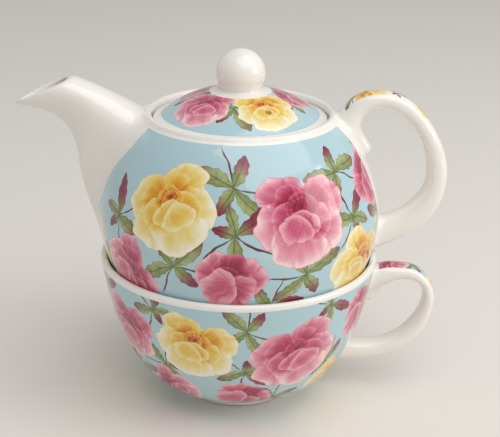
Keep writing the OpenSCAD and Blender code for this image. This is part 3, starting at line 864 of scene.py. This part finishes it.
def nearest(mesh, spots):
    """For each face its nearest spot, and for each of its corners the place on the print around that spot."""
    at, right, up = (np.array([getattr(s, key) for s in spots]) for key in ("at", "right", "up"))
    size = np.array([s.size for s in spots])
    centres = read(mesh.polygons, "center", 3) / MM
    chosen = np.stack([np.linalg.norm(centres - a, axis=1) / n for a, n in zip(at, size)], 1).argmin(1)
    own = np.repeat(chosen, read(mesh.polygons, "loop_total", kind=np.int32))
    corner = read(mesh.loops, "vertex_index", kind=np.int32)
    d = read(mesh.vertices, "co", 3)[corner] / MM - at[own]
    flat = np.stack([(d * right[own]).sum(1), (d * up[own]).sum(1)], -1)
    reach = np.maximum(np.linalg.norm(flat, axis=1), 1e-6)
    return flat * (np.linalg.norm(d, axis=1) / reach / size[own])[:, None], chosen


def spots_on(field, rows, start):
    """Spots of the print on a turned surface; start gives a radius and height near it for a row."""
    spots = []
    for azimuth, place, size, turn, kind in rows:
        at, normal = settle_on(field, azimuth, start(place))
        up = np.array([0, 0, 1.0]) - normal[2] * normal
        if np.linalg.norm(up) < 0.55:
            up = -at * [1, 1, 0]
            up = up - (up @ normal) * normal
        up = up / np.linalg.norm(up)
        right = np.cross(up, normal)
        c, s = math.cos(math.radians(turn)), math.sin(math.radians(turn))
        flip = 1 if len(spots) % 2 else -1
        spots.append(SimpleNamespace(
            at=at, size=size, kind=kind, up=up * c + right * s, right=flip * (right * c - up * s)))
    return spots


def grip_spots(field, rows):
    return spots_on(field, [(0, *row) for row in rows], lambda place: place)


def write_print(mesh, flowers, sprays, edge, clay, unfilled=False):
    """Puts the print's places, kinds and edge on the mesh for its material to read."""
    for name, spots in (
            ("Flower", flowers), ("Leaves", [s for s in sprays if s.kind == 0]),
            ("Twigs", [s for s in sprays if s.kind == 1])):
        uv, chosen = nearest(mesh, spots)
        layer = mesh.uv_layers.new(name=name + " place", do_init=False)
        layer.uv.foreach_set("vector", uv.reshape(-1).astype(np.float32))
        for label, values in (("kind", [s.kind for s in spots]), ("seed", 7.31 * np.arange(len(spots)))):
            mark = mesh.attributes.new(name + " " + label, "FLOAT", "FACE")
            mark.data.foreach_set("value", np.array(values, np.float32)[chosen])
    for name, values in (("Print edge", edge), ("Bare clay", clay), ("Unfilled", unfilled)):
        layer = mesh.attributes.new(name, "FLOAT", "POINT")
        layer.data.foreach_set("value", np.float32(values) * np.ones(len(mesh.vertices), np.float32))


def print_edge(clay, points, edge, margins):
    """How far inside the print each point lies, on the wall or on the handle's band, and what is handle."""
    y = np.abs(points[:, 1])
    edge = np.minimum(edge, np.where(points[:, 0] > 0, y - margins.handle, NO_EDGE))
    wall = np.abs(clay.outside(points))
    edge = np.minimum(edge, 1.2 - wall)
    off, half, run = clay.handle.place(points)
    band = np.minimum(margins.band - y, off - 0.15 * half)
    band = np.minimum(np.minimum(band, run - margins.start), margins.end - run)
    on_handle = (points[:, 0] > margins.x) & (clay.grip(points) < 0.6) & (wall > 2)
    return np.where(on_handle, band, edge), on_handle


def foot_face(points, z, r, land):
    """Positive on the bare standing face of a foot ring of outer radius r at height z."""
    away = np.abs(np.hypot(points[:, 0], points[:, 1]) - r + land / 2)
    return np.minimum(z + 0.35 - points[:, 2], 3 - away)


def make_piece(name, points, faces, normals):
    mesh = bpy.data.meshes.new(name)
    mesh.from_pydata((points * MM).tolist(), [], faces.tolist())
    mesh.update()
    mesh.normals_split_custom_set_from_vertices(normals.tolist())
    piece = bpy.data.objects.new(name, mesh)
    bpy.context.scene.collection.objects.link(piece)
    return piece


# Fields: values in a node tree, with arithmetic

class Field:
    """A value in a node tree."""

    def __init__(self, tree, socket):
        self.tree, self.socket = tree, socket

    def math(self, operation, *others):
        node = self.tree.nodes.new("ShaderNodeMath")
        node.operation = operation
        for plug, value in zip(node.inputs, (self,) + others):
            connect(self.tree, value, plug)
        return Field(self.tree, node.outputs[0])

    def __rsub__(self, other):
        return self * -1 + other

    def step(self, low, high):
        """0 at low, 1 at high, smooth between."""
        node = self.tree.nodes.new("ShaderNodeMapRange")
        node.interpolation_type = "SMOOTHSTEP"
        flip = isinstance(low, (int, float)) and isinstance(high, (int, float)) and low > high
        connect(self.tree, self, node.inputs["Value"])
        connect(self.tree, high if flip else low, node.inputs["From Min"])
        connect(self.tree, low if flip else high, node.inputs["From Max"])
        node.inputs["To Min"].default_value = 1.0 if flip else 0.0
        node.inputs["To Max"].default_value = 0.0 if flip else 1.0
        return Field(self.tree, node.outputs["Result"])

    def mix(self, other, share):
        return self + (other - self) * share


def method(operation):
    return lambda self, *others: self.math(operation, *others)


for names, operation in {
        "__add__ __radd__": "ADD", "__sub__": "SUBTRACT", "__mul__ __rmul__": "MULTIPLY",
        "__truediv__": "DIVIDE", "__pow__": "POWER", "sqrt": "SQRT", "sin": "SINE", "cos": "COSINE",
        "abs": "ABSOLUTE", "min": "MINIMUM", "max": "MAXIMUM", "atan2": "ARCTAN2"}.items():
    for label in names.split():
        setattr(Field, label, method(operation))


def connect(tree, value, plug):
    if isinstance(value, Field):
        tree.links.new(value.socket, plug)
    elif isinstance(value, bpy.types.NodeSocket):
        tree.links.new(value, plug)
    elif plug.type == "RGBA":
        plug.default_value = (*value[:3], 1.0)
    else:
        plug.default_value = value


SOCKETS = {
    "value": "NodeSocketFloat", "count": "NodeSocketInt", "vector": "NodeSocketVector",
    "colour": "NodeSocketColor", "geometry": "NodeSocketGeometry", "material": "NodeSocketMaterial"}


def new_group(name, inputs, outputs, kind_of_tree="ShaderNodeTree"):
    """A group with named sockets: its tree, its inputs as fields and a function that sets an output."""
    tree = bpy.data.node_groups.new(name, kind_of_tree)
    for label, kind, *default in inputs:
        socket = tree.interface.new_socket(label, in_out="INPUT", socket_type=SOCKETS[kind])
        if default:
            socket.default_value = (*default[0], 1.0) if kind == "colour" else default[0]
    for label, kind in outputs:
        tree.interface.new_socket(label, in_out="OUTPUT", socket_type=SOCKETS[kind])
    start, end = tree.nodes.new("NodeGroupInput"), tree.nodes.new("NodeGroupOutput")
    fields = {label: Field(tree, start.outputs[label]) for label, *_ in inputs}

    def give(label, value):
        connect(tree, value, end.inputs[label])
    return tree, fields, give


def use_group(tree, group, values):
    node = tree.nodes.new("ShaderNodeGroup")
    node.node_tree = group
    for label, value in values.items():
        connect(tree, value, node.inputs[label])
    return {out.name: Field(tree, out) for out in node.outputs}


def noise(tree, vector, scale, detail=1.0):
    node = tree.nodes.new("ShaderNodeTexNoise")
    connect(tree, vector, node.inputs["Vector"])
    node.inputs["Scale"].default_value = scale
    node.inputs["Detail"].default_value = detail
    return Field(tree, node.outputs["Fac"]) - 0.5


def join(tree, x, y, z=0.0):
    node = tree.nodes.new("ShaderNodeCombineXYZ")
    for plug, value in zip(node.inputs, (x, y, z)):
        connect(tree, value, plug)
    return node.outputs[0]


def ramp(tree, value, stops):
    node = tree.nodes.new("ShaderNodeValToRGB")
    connect(tree, value, node.inputs["Fac"])
    band = node.color_ramp
    while len(band.elements) < len(stops):
        band.elements.new(0.5)
    for element, (place, hex_code) in zip(band.elements, stops):
        element.position = place
        element.color = linear(hex_code) + [1.0]
    return node.outputs["Color"]


def blend(tree, first, second, share):
    node = tree.nodes.new("ShaderNodeMix")
    node.data_type = "RGBA"
    connect(tree, share, node.inputs["Factor"])
    connect(tree, first, node.inputs[6])
    connect(tree, second, node.inputs[7])
    return node.outputs[2]


# The drawing of one flower or leaf, in a plane where a flower has radius 1

PINKS = [(0, "86122f"), (0.18, "ad2f54"), (0.38, "c65878"), (0.58, "d88299"), (0.8, "e8a9b4"), (1, "f5d3d3")]
GOLDS = [(0, "8e1c26"), (0.13, "c2501f"), (0.26, "dd921d"), (0.4, "e6b53c"), (0.55, "ebcb68"),
         (0.72, "efdc98"), (0.87, "f2e7bd"), (1, "f6f0da")]
GREENS = [(0, "5b6136"), (0.35, "7f8b52"), (0.65, "a3ad78"), (1, "cdd0a8")]
BLUSHES = [(0, "5e1226"), (0.5, "943650"), (1, "c98091")]
PETAL_KEYS = (
    "Centre X", "Centre Y", "Width", "Height", "Size", "Lobes", "Phase", "Notch", "Deep", "Pale", "Glow")
OPEN_ROSE = [
    (-0.42, 0.34, 1, 0.86, 0.52, 3, 0.9, 0.12, 0.35, 0.8, 0.5),
    (0.4, 0.4, 1, 0.9, 0.5, 3, 2.1, 0.14, 0.3, 0.78, 0.45),
    (0.48, -0.14, 0.9, 1, 0.5, 3, 0.2, 0.12, 0.42, 0.88, 0.5),
    (-0.5, -0.18, 0.92, 1, 0.5, 3, 1.5, 0.13, 0.45, 0.9, 0.45),
    (0.02, -0.46, 1.15, 0.86, 0.54, 3, 0.5, 0.13, 0.5, 1, 0.4),
    (-0.24, 0.3, 1, 0.95, 0.42, 3, 0.3, 0.12, 0.15, 0.72, 0.3),
    (0.24, 0.28, 1, 0.95, 0.4, 3, 1.1, 0.12, 0.12, 0.66, 0.3),
    (-0.3, -0.06, 0.9, 1, 0.4, 3, 2.4, 0.12, 0.25, 0.85, 0.2),
    (0.28, -0.1, 0.9, 1, 0.4, 3, 1.7, 0.12, 0.22, 0.8, 0.2),
    (0, 0.22, 1, 0.92, 0.33, 4, 0.8, 0.12, -0.05, 0.55, 0),
    (0.03, 0.22, 0.95, 0.85, 0.22, 3, 0.2, 0.14, -0.05, 0.45, 0),
    (0.01, 0.23, 0.9, 0.85, 0.12, 3, 1.2, 0.16, -0.1, 0.35, 0),
    (-0.1, -0.08, 1, 0.72, 0.34, 3, 1.9, 0.1, 0.3, 0.84, 0),
    (0.1, -0.22, 1.05, 0.74, 0.36, 3, 0.6, 0.12, 0.4, 0.95, 0)]
HALF_ROSE = [
    (0.42, 0.26, 0.82, 1.05, 0.54, 3, 0.2, 0.12, 0.3, 0.9, 0.3),
    (-0.42, 0.28, 0.82, 1.05, 0.54, 3, 1.3, 0.12, 0.3, 0.88, 0.3),
    (0, 0.38, 1, 0.9, 0.5, 3, 0.6, 0.12, 0.05, 0.6, 0.3),
    (0.02, 0.24, 1, 0.8, 0.32, 3, 1.5, 0.12, -0.1, 0.4, 0),
    (-0.24, -0.12, 0.9, 1.12, 0.5, 2, 0.5, 0.1, 0.25, 0.85, 0.2),
    (0.2, -0.16, 0.9, 1.12, 0.5, 2, 2.1, 0.1, 0.35, 1, 0.2)]
LEAF_KEYS = ("Centre X", "Centre Y", "Turn", "Length", "Width", "Blush")
SPRAY_LEAVES = [
    [(0, 0, 1.25, 1.05, 0.05, 0.8), (0, 0, 3.15, 1, 0.05, 0.6),
     (0.02, 0, 0.45, 1, 0.31, 0.15), (0, 0.02, 1.85, 0.78, 0.26, 0.45),
     (-0.02, -0.02, 3.85, 0.94, 0.28, 0.1), (0, -0.02, 5.2, 0.66, 0.24, 0.35)],
    [(0, 0, 2.45, 1.1, 0.05, 0.8), (0, 0, 4.45, 1, 0.05, 0.6),
     (0, 0.02, 1.3, 1.02, 0.28, 0.75), (-0.02, 0, 3.45, 0.84, 0.3, 0.2),
     (0.02, 0, 0.15, 0.7, 0.22, 0.12), (0, -0.02, 5.45, 0.52, 0.2, 0.55)]]


def inputs_for(keys, *more):
    return [(key, "value") for key in ("U", "V") + keys + more]


def petal_group():
    """One petal: a notched oval, deep inside and pale at its edge, laid over what is below."""
    tree, f, give = new_group(
        "Petal", inputs_for(PETAL_KEYS, "Reach", "Streak", "Tone", "Cover"),
        [("Tone", "value"), ("Cover", "value")])
    x = (f["U"] - f["Centre X"]) / f["Width"]
    y = (f["V"] - f["Centre Y"]) / f["Height"]
    r = (x * x + y * y).sqrt()
    w = (y.atan2(x) * (f["Lobes"] * 0.5) + f["Phase"]).cos().abs()
    edge = (w.max(0.02) ** 0.4) * (f["Notch"] * f["Size"]) + f["Size"] * (1 - f["Notch"])
    t = r / edge
    cover = t.step(1.0, 0.96)
    shade = (t.min(1.0) ** 3) * (f["Pale"] - f["Deep"]) + f["Deep"] + (f["Reach"] - 0.5) * f["Glow"]
    shade = shade + f["Streak"] * 0.3 - w.step(0.2, 0.0) * t.step(0.45, 0.9) * 0.18 - t.step(0.9, 0.99) * 0.22
    give("Tone", f["Tone"].mix(shade, cover))
    give("Cover", f["Cover"].max(cover))
    return tree


def turned_place(f):
    """The place along and across a leaf or petal that starts at its centre and points along its turn."""
    c, s = f["Turn"].cos(), f["Turn"].sin()
    x, y = f["U"] - f["Centre X"], f["V"] - f["Centre Y"]
    return x * c + y * s, y * c - x * s


def leaf_group():
    """A serrated leaf, from dark to pale green, with a burgundy tip."""
    tree, f, give = new_group(
        "Leaf", inputs_for(LEAF_KEYS, "Streak", "Tone", "Red", "Cover"),
        [("Tone", "value"), ("Red", "value"), ("Cover", "value")])
    x, y = turned_place(f)
    t = (x / f["Length"]).max(0.0).min(1.0)
    y = y + x * x * 0.16 / f["Length"]
    stalk = x.step(-0.02, 0.0) * t.step(0.35, 0.0) * 0.035
    half = ((t ** 0.7) * ((1 - t) ** 0.62) * (f["Width"] * 1.75)).max(stalk)
    saw = (t * 26).sin() * half * 0.08
    d = half + saw - y.abs()
    cover = d.step(0.0, 0.02)
    vein = (t * 20 - y.abs() * 22).sin().step(0.55, 1.0)
    shade = f["Streak"] * 0.25 + 0.52 + y * 1.1 - y.abs().step(0.028, 0.0) * 0.42 - vein * 0.10
    shade = shade - d.step(0.05, 0.0) * 0.2
    red = (t + f["Streak"] * 0.2 + y.abs() * 0.8 + f["Blush"]).step(0.75, 1.3)
    give("Tone", f["Tone"].mix(shade, cover))
    give("Red", f["Red"].mix(red, cover))
    give("Cover", f["Cover"].max(cover))
    return tree


def painted_place(tree, place, seed, wobble):
    """A place on the print, shaken a little as a brush would."""
    split = tree.nodes.new("ShaderNodeSeparateXYZ")
    connect(tree, place, split.inputs[0])
    u, v = Field(tree, split.outputs[0]), Field(tree, split.outputs[1])
    one, two = join(tree, u, v, seed), join(tree, u, v, seed + 3.7)
    u = u + noise(tree, one, 2.0, 1.5) * wobble
    v = v + noise(tree, two, 2.0, 1.5) * wobble
    return u, v


def rose_print_group(look):
    """The whole print: leaves on the ground, then flowers over them."""
    petal, leaf = petal_group(), leaf_group()
    tree, f, give = new_group("Rose print", [
        ("Flower place", "vector"), ("Flower kind", "value"), ("Flower seed", "value"),
        ("Leaves place", "vector"), ("Leaves seed", "value"),
        ("Twigs place", "vector"), ("Twigs seed", "value"),
        ("Ground", "colour", tuple(look.ground))], [("Color", "colour"), ("Cover", "value")])

    def draw(group, keys, rows, u, v, streak, state, reach=None):
        given = {"U": u, "V": v, "Streak": streak}
        if reach:
            given["Reach"] = reach
        for row in rows:
            state = use_group(tree, group, {**given, **dict(zip(keys, row)), **state})
        return state

    state = {}
    for name, rows in zip(("Leaves", "Twigs"), SPRAY_LEAVES):
        seed = f[name + " seed"]
        u, v = painted_place(tree, f[name + " place"].socket, seed, 0.16)
        streak = noise(tree, join(tree, u, v, seed), 9.0, 2.0) * 2
        state = draw(leaf, LEAF_KEYS, rows, u, v, streak, state)
    tone, red, cover = (state[k] for k in ("Tone", "Red", "Cover"))
    green = blend(tree, ramp(tree, tone, GREENS), ramp(tree, tone * 0.8, BLUSHES), red)
    colour = blend(tree, f["Ground"], green, cover)

    u, v = painted_place(tree, f["Flower place"].socket, f["Flower seed"], 0.34)
    v0 = v - 0.15
    r = (u * u + v0 * v0).sqrt().max(0.02)
    streak = noise(tree, join(tree, u * 5 / r, v0 * 5 / r, r * 1.5 + f["Flower seed"]), 1.0, 2.0) * 2
    full = draw(petal, PETAL_KEYS, OPEN_ROSE, u, v, streak, {}, r)
    half = draw(petal, PETAL_KEYS, HALF_ROSE, u, v, streak, {}, r)
    is_half, is_gold = f["Flower kind"].step(1.4, 1.6), (f["Flower kind"] - 1).abs().step(0.6, 0.4)
    tone, bloom = (full[k].mix(half[k], is_half) for k in ("Tone", "Cover"))
    petals = blend(tree, ramp(tree, tone, PINKS), ramp(tree, tone * 0.9 + 0.12, GOLDS), is_gold)
    give("Color", blend(tree, colour, petals, bloom))
    give("Cover", bloom.max(cover))
    return tree


def glaze_group(look):
    """White glaze round the print, bare clay on the feet, and the faint unevenness of a glaze."""
    tree, f, give = new_group("Ceramic glaze", [
        ("Print", "colour"), ("Cover", "value"), ("Print edge", "value"), ("Bare clay", "value"),
        ("Unfilled", "value"),
        ("White", "colour", tuple(look.white)), ("Clay", "colour", tuple(look.clay)),
        ("Roughness", "value", look.roughness)],
        [("Color", "colour"), ("Roughness", "value"), ("Height", "value")])
    place = tree.nodes.new("ShaderNodeTexCoord").outputs["Object"]
    cloud = noise(tree, place, 60.0, 2.0)
    printed = f["Print edge"].step(-0.12, 0.12) * (f["Unfilled"] * (f["Cover"] - 1) + 1)
    bare = f["Bare clay"].step(-0.1, 0.1)
    colour = blend(tree, f["White"], f["Print"], printed)
    give("Color", blend(tree, colour, f["Clay"], bare))
    give("Roughness", (f["Roughness"] + cloud * 0.05).mix(0.75 + cloud * 0.2, bare))
    give("Height", noise(tree, place, 22.0, 1.0) + noise(tree, place, 900.0, 2.0) * bare * 0.3)
    return tree


def attribute(tree, name):
    node = tree.nodes.new("ShaderNodeAttribute")
    node.attribute_name = name
    return Field(tree, node.outputs["Fac"])


def uv_place(tree, name):
    node = tree.nodes.new("ShaderNodeUVMap")
    node.uv_map = name
    return node.outputs["UV"]


def shared_group(name, build, look):
    return bpy.data.node_groups.get(name) or build(look)


def glazed_material(name, look):
    """Glazed ceramic that reads the print from the piece it is on."""
    material = bpy.data.materials.new(name)
    material.use_nodes = True
    tree = material.node_tree
    shader = tree.nodes["Principled BSDF"]
    given = {"Flower kind": attribute(tree, "Flower kind")}
    for layer in ("Flower", "Leaves", "Twigs"):
        given[layer + " place"] = uv_place(tree, layer + " place")
        given[layer + " seed"] = attribute(tree, layer + " seed")
    drawn = use_group(tree, shared_group("Rose print", rose_print_group, look), given)
    glaze = use_group(tree, shared_group("Ceramic glaze", glaze_group, look), {
        "Print": drawn["Color"], "Cover": drawn["Cover"],
        **{label: attribute(tree, label) for label in ("Print edge", "Bare clay", "Unfilled")}})
    connect(tree, glaze["Color"], shader.inputs["Base Color"])
    connect(tree, glaze["Roughness"], shader.inputs["Roughness"])
    bump = tree.nodes.new("ShaderNodeBump")
    bump.inputs["Strength"].default_value = look.ripple
    bump.inputs["Distance"].default_value = 0.0005
    connect(tree, glaze["Height"], bump.inputs["Height"])
    connect(tree, bump.outputs["Normal"], shader.inputs["Normal"])
    shader.inputs["IOR"].default_value = 1.5
    shader.inputs["Coat Weight"].default_value = look.coat
    shader.inputs["Coat Roughness"].default_value = 0.04
    return material


def finish_piece(piece, material, node):
    if not piece.data.materials:
        piece.data.materials.append(material)
    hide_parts(node)
    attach(piece, "root")


# Operators

class TFO_OT_cup(bpy.types.Operator):
    """Build the cup with its handle"""
    bl_idname = "tea_for_one.cup"
    bl_label = "Cup"

    def execute(self, context):
        scene = context.scene
        cup = cup_field(cup_form(scene.tfo_cup))
        f = cup.form
        points, faces, normals = shell(
            cup.field, [-f.r - 3, -f.r - 3, -2.5], [f.r + f.handle_reach + 3, f.r + 3, f.height + 2.5],
            f.pitch, f.triangles)
        z, margins = points[:, 2], CUP_MARGINS
        edge = np.minimum(f.height - margins.lip - z, z - f.foot_h - margins.foot)
        edge, _ = print_edge(cup, points, edge, margins)

        def near(z):
            return f.r * (0.62 + 0.38 * min(1, z / 45)), z
        flowers = spots_on(cup.outside, CUP_FLOWERS, near) + grip_spots(cup.handle, CUP_GRIP_FLOWERS)
        sprays = spots_on(cup.outside, CUP_SPRAYS, near) + grip_spots(cup.handle, CUP_GRIP_SPRAYS)
        piece = make_piece("cup", points, faces, normals)
        write_print(piece.data, flowers, sprays, edge, foot_face(points, 0, f.foot_r, f.foot_land))
        finish_piece(piece, glazed_material("cup glaze", scene.tfo_glaze), "cup")
        return {"FINISHED"}


class TFO_OT_teapot(bpy.types.Operator):
    """Build the teapot with its spout and handle"""
    bl_idname = "tea_for_one.teapot"
    bl_label = "Teapot"

    def execute(self, context):
        scene = context.scene
        pot = teapot_field(teapot_form(scene.tfo_teapot, cup_form(scene.tfo_cup)))
        f = pot.form
        points, faces, normals = shell(
            pot.field, [f.tip[0] - 4.6, -f.belly_r - 3.4, f.z - 2.5],
            [f.belly_r + f.handle_reach + 3, f.belly_r + 3, f.shoulder_z + 19],
            f.pitch, f.triangles)
        (x, y, z), margins = points.T, TEAPOT_MARGINS
        edge = np.minimum((f.shoulder_z - margins.lip - z) * 1.3, z - f.z - margins.foot)
        bay = np.where(x < 0, np.abs(y) - np.interp(z, *zip(*SPOUT_BAY)), NO_EDGE)
        edge, on_handle = print_edge(pot, points, np.minimum(edge, bay), margins)

        def near(z):
            return f.belly_r - 2, z
        flowers = spots_on(pot.outside, TEAPOT_FLOWERS, near) + grip_spots(pot.handle, TEAPOT_GRIP_FLOWERS)
        sprays = spots_on(pot.outside, TEAPOT_SPRAYS, near) + grip_spots(pot.handle, TEAPOT_GRIP_SPRAYS)
        piece = make_piece("teapot", points, faces, normals)
        write_print(piece.data, flowers, sprays, edge, foot_face(points, f.z, f.foot_r, FOOT_LAND), on_handle)
        finish_piece(piece, glazed_material("teapot glaze", scene.tfo_glaze), "teapot")
        return {"FINISHED"}


class TFO_OT_lid(bpy.types.Operator):
    """Build the lid with its knob"""
    bl_idname = "tea_for_one.lid"
    bl_label = "Lid"

    def execute(self, context):
        scene = context.scene
        f = lid_form(scene.tfo_lid, teapot_form(scene.tfo_teapot, cup_form(scene.tfo_cup)))
        half, share = lid_profile(f)
        mesh = bpy.data.meshes.new("lid profile")
        edges = [(i, i + 1) for i in range(len(half) - 1)]
        mesh.from_pydata([(r * MM, 0, z * MM) for r, z in half], edges, [])
        mesh.attributes.new("Nib share", "FLOAT", "POINT").data.foreach_set("value", share.astype(np.float32))
        piece = bpy.data.objects.new("lid", mesh)
        scene.collection.objects.link(piece)
        material = glazed_material("lid glaze", scene.tfo_glaze)
        vent = f.vent_at * polar(math.radians(VENT_AZIMUTH))
        run_nodes(piece, turned_lid_tree(), {
            "Segments": f.segments, "Nib reach": f.nib_reach * MM,
            "Nib width": f.nib_w * MM, "Vent place": (vent[0] * MM, vent[1] * MM, (f.seat_z + 8) * MM),
            "Vent radius": f.vent_d / 2 * MM, "Material": material})
        mesh = piece.data
        mesh.set_sharp_from_angle(angle=math.radians(50))
        points = read(mesh.vertices, "co", 3) / MM
        r = np.hypot(points[:, 0], points[:, 1])
        on_top = read(mesh.vertex_normals, "vector", 3)[:, 2] > 0.2
        edge = np.where(on_top, np.minimum(f.dome_edge_r + 0.2 - r, r - KNOB_WHITE), -1)

        def dome(p):
            return np.linalg.norm(p - [0, 0, f.dome_z], axis=1) - f.dome_r
        flowers = spots_on(dome, LID_FLOWERS, lambda d: (d, f.dome_z + f.dome_r))
        sprays = spots_on(dome, LID_SPRAYS, lambda d: (d, f.dome_z + f.dome_r))
        write_print(mesh, flowers, sprays, edge, -1.0)
        finish_piece(piece, material, "lid")
        return {"FINISHED"}


def area_lamp(name, place, target, size, power, tint=(1, 1, 1)):
    lamp = bpy.data.lights.new(name, "AREA")
    lamp.shape = "RECTANGLE"
    lamp.size, lamp.size_y = size
    lamp.energy = power
    lamp.color = tint
    obj = bpy.data.objects.new(name, lamp)
    bpy.context.scene.collection.objects.link(obj)
    obj.location = place
    obj.rotation_euler = (Vector(target) - Vector(place)).to_track_quat("-Z", "Y").to_euler()
    return obj


class TFO_OT_stage(bpy.types.Operator):
    """Set the camera, the floor and the lamps"""
    bl_idname = "tea_for_one.stage"
    bl_label = "Stage"

    def execute(self, context):
        scene = context.scene
        look = scene.tfo_stage
        elevation, roll, distance, focal = math.radians(21.37), math.radians(0.83), 0.5, 1165.0
        target = Vector((0.00461, 0, 0.0779))
        camera = bpy.data.cameras.new("camera")
        camera.sensor_width = 36.0
        camera.sensor_fit = "HORIZONTAL"
        camera.lens = focal / FRAME_WIDTH * camera.sensor_width
        camera.clip_start = 0.01
        obj = bpy.data.objects.new("camera", camera)
        scene.collection.objects.link(obj)
        ahead = Vector((0, math.cos(elevation), -math.sin(elevation)))
        flat, rise = Vector((1, 0, 0)), Vector((0, math.sin(elevation), math.cos(elevation)))
        right = math.cos(roll) * flat + math.sin(roll) * rise
        up = -math.sin(roll) * flat + math.cos(roll) * rise
        obj.matrix_world = Matrix.Translation(target - ahead * distance) @ Matrix(
            (right, up, -ahead)).transposed().to_4x4()
        scene.camera = obj

        floor = bpy.data.meshes.new("floor")
        side = 6.0
        corners = [(-side, -side, 0), (side, -side, 0), (side, side, 0), (-side, side, 0)]
        floor.from_pydata(corners, [], [(0, 1, 2, 3)])
        ground = bpy.data.objects.new("floor", floor)
        scene.collection.objects.link(ground)
        material = bpy.data.materials.new("floor")
        material.use_nodes = True
        shader = material.node_tree.nodes["Principled BSDF"]
        shader.inputs["Base Color"].default_value = (*look.floor, 1)
        shader.inputs["Roughness"].default_value = 0.6
        floor.materials.append(material)

        area_lamp("key lamp", (0.35, -0.35, 1.05), (0, 0, 0.08), (1.3, 1.1), look.key)
        area_lamp("window lamp", (1.0, -0.3, 0.42), (0, 0, 0.09), (0.5, 0.5), look.window, (1, 0.98, 0.95))
        world = bpy.data.worlds.new("studio")
        world.use_nodes = True
        back = world.node_tree.nodes["Background"]
        back.inputs["Color"].default_value = (1, 0.99, 0.975, 1)
        back.inputs["Strength"].default_value = look.sky
        scene.world = world
        scene.view_settings.view_transform = "Standard"
        return {"FINISHED"}


class TFO_PT_panel(bpy.types.Panel):
    """The pieces of the set and their settings"""
    bl_idname = "TFO_PT_panel"
    bl_label = "Tea for one"
    bl_space_type = "VIEW_3D"
    bl_region_type = "UI"
    bl_category = "Tea for one"

    def draw(self, context):
        for operator, name in STEPS:
            box = self.layout.box()
            box.operator(operator.bl_idname)
            settings = getattr(context.scene, name)
            for key in type(settings).__annotations__:
                box.prop(settings, key)
        for key in GlazeLook.__annotations__:
            self.layout.prop(context.scene.tfo_glaze, key)


STEPS = [
    (TFO_OT_stage, "tfo_stage"), (TFO_OT_cup, "tfo_cup"), (TFO_OT_teapot, "tfo_teapot"),
    (TFO_OT_lid, "tfo_lid")]
GROUPS = {
    "tfo_cup": CupSizes, "tfo_teapot": TeapotSizes, "tfo_lid": LidSizes, "tfo_glaze": GlazeLook,
    "tfo_stage": StageLook}
CLASSES = list(GROUPS.values()) + [step[0] for step in STEPS] + [TFO_PT_panel]


def register():
    for cls in CLASSES:
        bpy.utils.register_class(cls)
    for name, group in GROUPS.items():
        setattr(bpy.types.Scene, name, bpy.props.PointerProperty(type=group))


def unregister():
    for name in GROUPS:
        delattr(bpy.types.Scene, name)
    for cls in reversed(CLASSES):
        bpy.utils.unregister_class(cls)


def main():
    register()
    bpy.ops.tea_for_one.stage()
    bpy.ops.tea_for_one.cup()
    bpy.ops.tea_for_one.teapot()
    bpy.ops.tea_for_one.lid()


if __name__ == "__main__":
    main()
